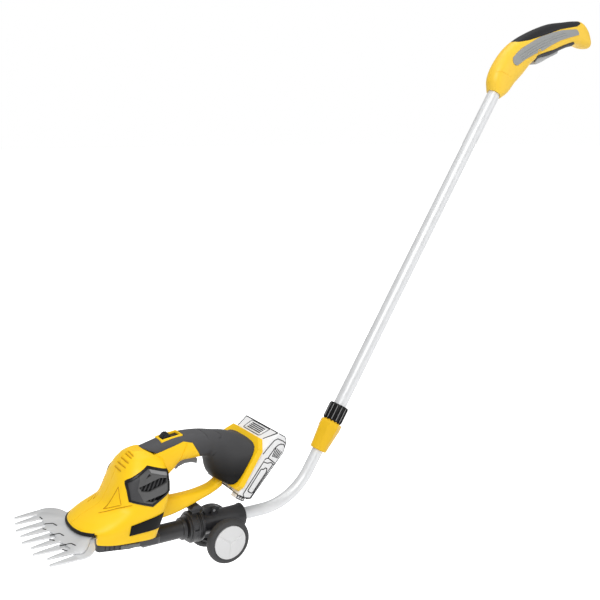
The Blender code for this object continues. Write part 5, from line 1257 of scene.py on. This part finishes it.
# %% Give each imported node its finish
FINISH = {
    TUBE: ["upper_tube", "lower_tube"],
    BLADE: ["fixed_comb", "moving_blade"],
    STEEL: ["axle", "axle_clip_left", "axle_clip_right", "drive_gear", "gear_stud", "latch_pin", "motor",
            "motor_pinion", "motor_plate", "pivot_pin", "trigger_pin", "handle_trigger_pin",
            "swivel_spring", "button_spring", "head_trigger_spring", "handle_trigger_spring",
            "blade_release_left_spring", "blade_release_right_spring", "dock_terminals"],
    YELLOW: ["switch_bezel", "battery_dock", "housing_left", "housing_right"],
    COLLAR_YELLOW: ["clamp_collar"],
    PALE_YELLOW: ["handle_left", "handle_right"],
    SOFT: ["grip_cover", "top_grip"],
    CHARCOAL: ["wheel_carrier", "pole_plug", "release_latch", "swivel_button", "left_hub", "right_hub"],
    SOLE_GREY: ["sole_plate"],
    BLACK: ["blade_guard", "clamp_knob", "clamp_collet", "safety_slider", "handle_switch",
            "trigger_switch"],
    PLATE_BLACK: ["name_plate"],
    VENT_GREY: ["vent_cover_left", "vent_cover_right", "blade_release_left", "blade_release_right"],
    TRIGGER_GREY: ["head_trigger", "handle_trigger"],
    PANEL_GREY: ["handle_panel_left", "handle_panel_right"],
    PACK_WHITE: ["battery_case", "battery_button"],
    CAP_WHITE: ["left_cap", "right_cap"],
    TYRE: ["left_tyre", "right_tyre"],
}
for finish, names in FINISH.items():
    for name in names:
        for material_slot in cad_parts[name].material_slots:
            material_slot.material = finish
print(sum(len(names) for names in FINISH.values()), "packed nodes finished")

# %% [markdown]
# ## The stage
# Three large soft lamps and an even glow from all around light the tool, and the
# camera stands where the photographer stood. The floor is as white as the sky, and
# it lies low enough to hide no part when the pole is drawn out.

# %% Floor
SPAN, FLOOR = 30.0, GROUND - 0.24


def floor_material():
    """A pale floor that glows for the rays that see it, and throws the lamps' light back."""
    mat = bpy.data.materials.new("pale_floor")
    mat.use_nodes = True
    tree = mat.node_tree
    shader = tree.nodes["Principled BSDF"]
    feed(tree, shader, {"Base Color": (0.85, 0.85, 0.86, 1), "Roughness": 0.9})
    rays = node(tree, "LightPath").outputs
    seen = worked(tree, "MAXIMUM", rays["Is Camera Ray"], rays["Is Glossy Ray"])
    share = worked(tree, "MULTIPLY", worked(tree, "MAXIMUM", seen, rays["Is Transmission Ray"]), 0.95)
    glow = node(tree, "Emission", {"Color": (1, 1, 1, 1), "Strength": share})
    both = node(tree, "AddShader", {0: shader.outputs[0], 1: glow.outputs[0]})
    feed(tree, tree.nodes["Material Output"], {"Surface": both.outputs[0]})
    return mat


floor_mesh = bpy.data.meshes.new("floor")
floor_mesh.from_pydata([(-SPAN, -SPAN, FLOOR), (SPAN, -SPAN, FLOOR), (SPAN, SPAN, FLOOR),
                        (-SPAN, SPAN, FLOOR)], [], [(0, 1, 2, 3)])
floor_mesh.materials.append(floor_material())
floor = placed("floor", floor_mesh)
print("floor at", FLOOR, "m")

# %% World
world = bpy.data.worlds.new("studio")
bpy.context.scene.world = world
world.use_nodes = True
tree = world.node_tree
rays = node(tree, "LightPath").outputs
seen = worked(tree, "MAXIMUM", rays["Is Camera Ray"], rays["Is Transmission Ray"])
level = node(tree, "MapRange", {"To Min": 0.42, "To Max": 1.0, "Value": seen})
feed(tree, tree.nodes["Background"], {"Color": (1, 1, 1, 1), "Strength": level.outputs["Result"]})
print("world strength on the tool:", round(level.inputs["To Min"].default_value, 2))

# %% Lamps
def lamp(name, place, aim, size, power):
    """A square soft lamp that points from its place to its aim, all in metres."""
    data = bpy.data.lights.new(name, "AREA")
    data.size = size
    data.energy = power
    obj = placed(name, data)
    obj.location = place
    obj.rotation_euler = (Vector(aim) - Vector(place)).to_track_quat("-Z", "Y").to_euler()
    return obj


lamp("key", (-1.6, -1.6, 1.4), (-0.3, 0, -0.35), 1.3, 40)
lamp("fill", (1.3, -1.9, 0.5), (-0.3, 0, -0.3), 1.8, 12)
lamp("top", (-0.3, 0.5, 2.0), (-0.3, 0, -0.3), 1.6, 16)
print("lamps:", len(bpy.data.lights))

# %% Camera and view
cam_data = bpy.data.cameras.new("camera")
cam_data.lens = 50
cam_data.sensor_width = 36
camera = placed("camera", cam_data)
camera.location = (-0.9658, -0.8220, -0.1225)
camera.rotation_euler = (math.radians(78.4), 0, math.radians(-34.0))
bpy.context.scene.camera = camera
bpy.context.scene.view_settings.view_transform = "Standard"
print("camera's focal length:", cam_data.lens, "mm")
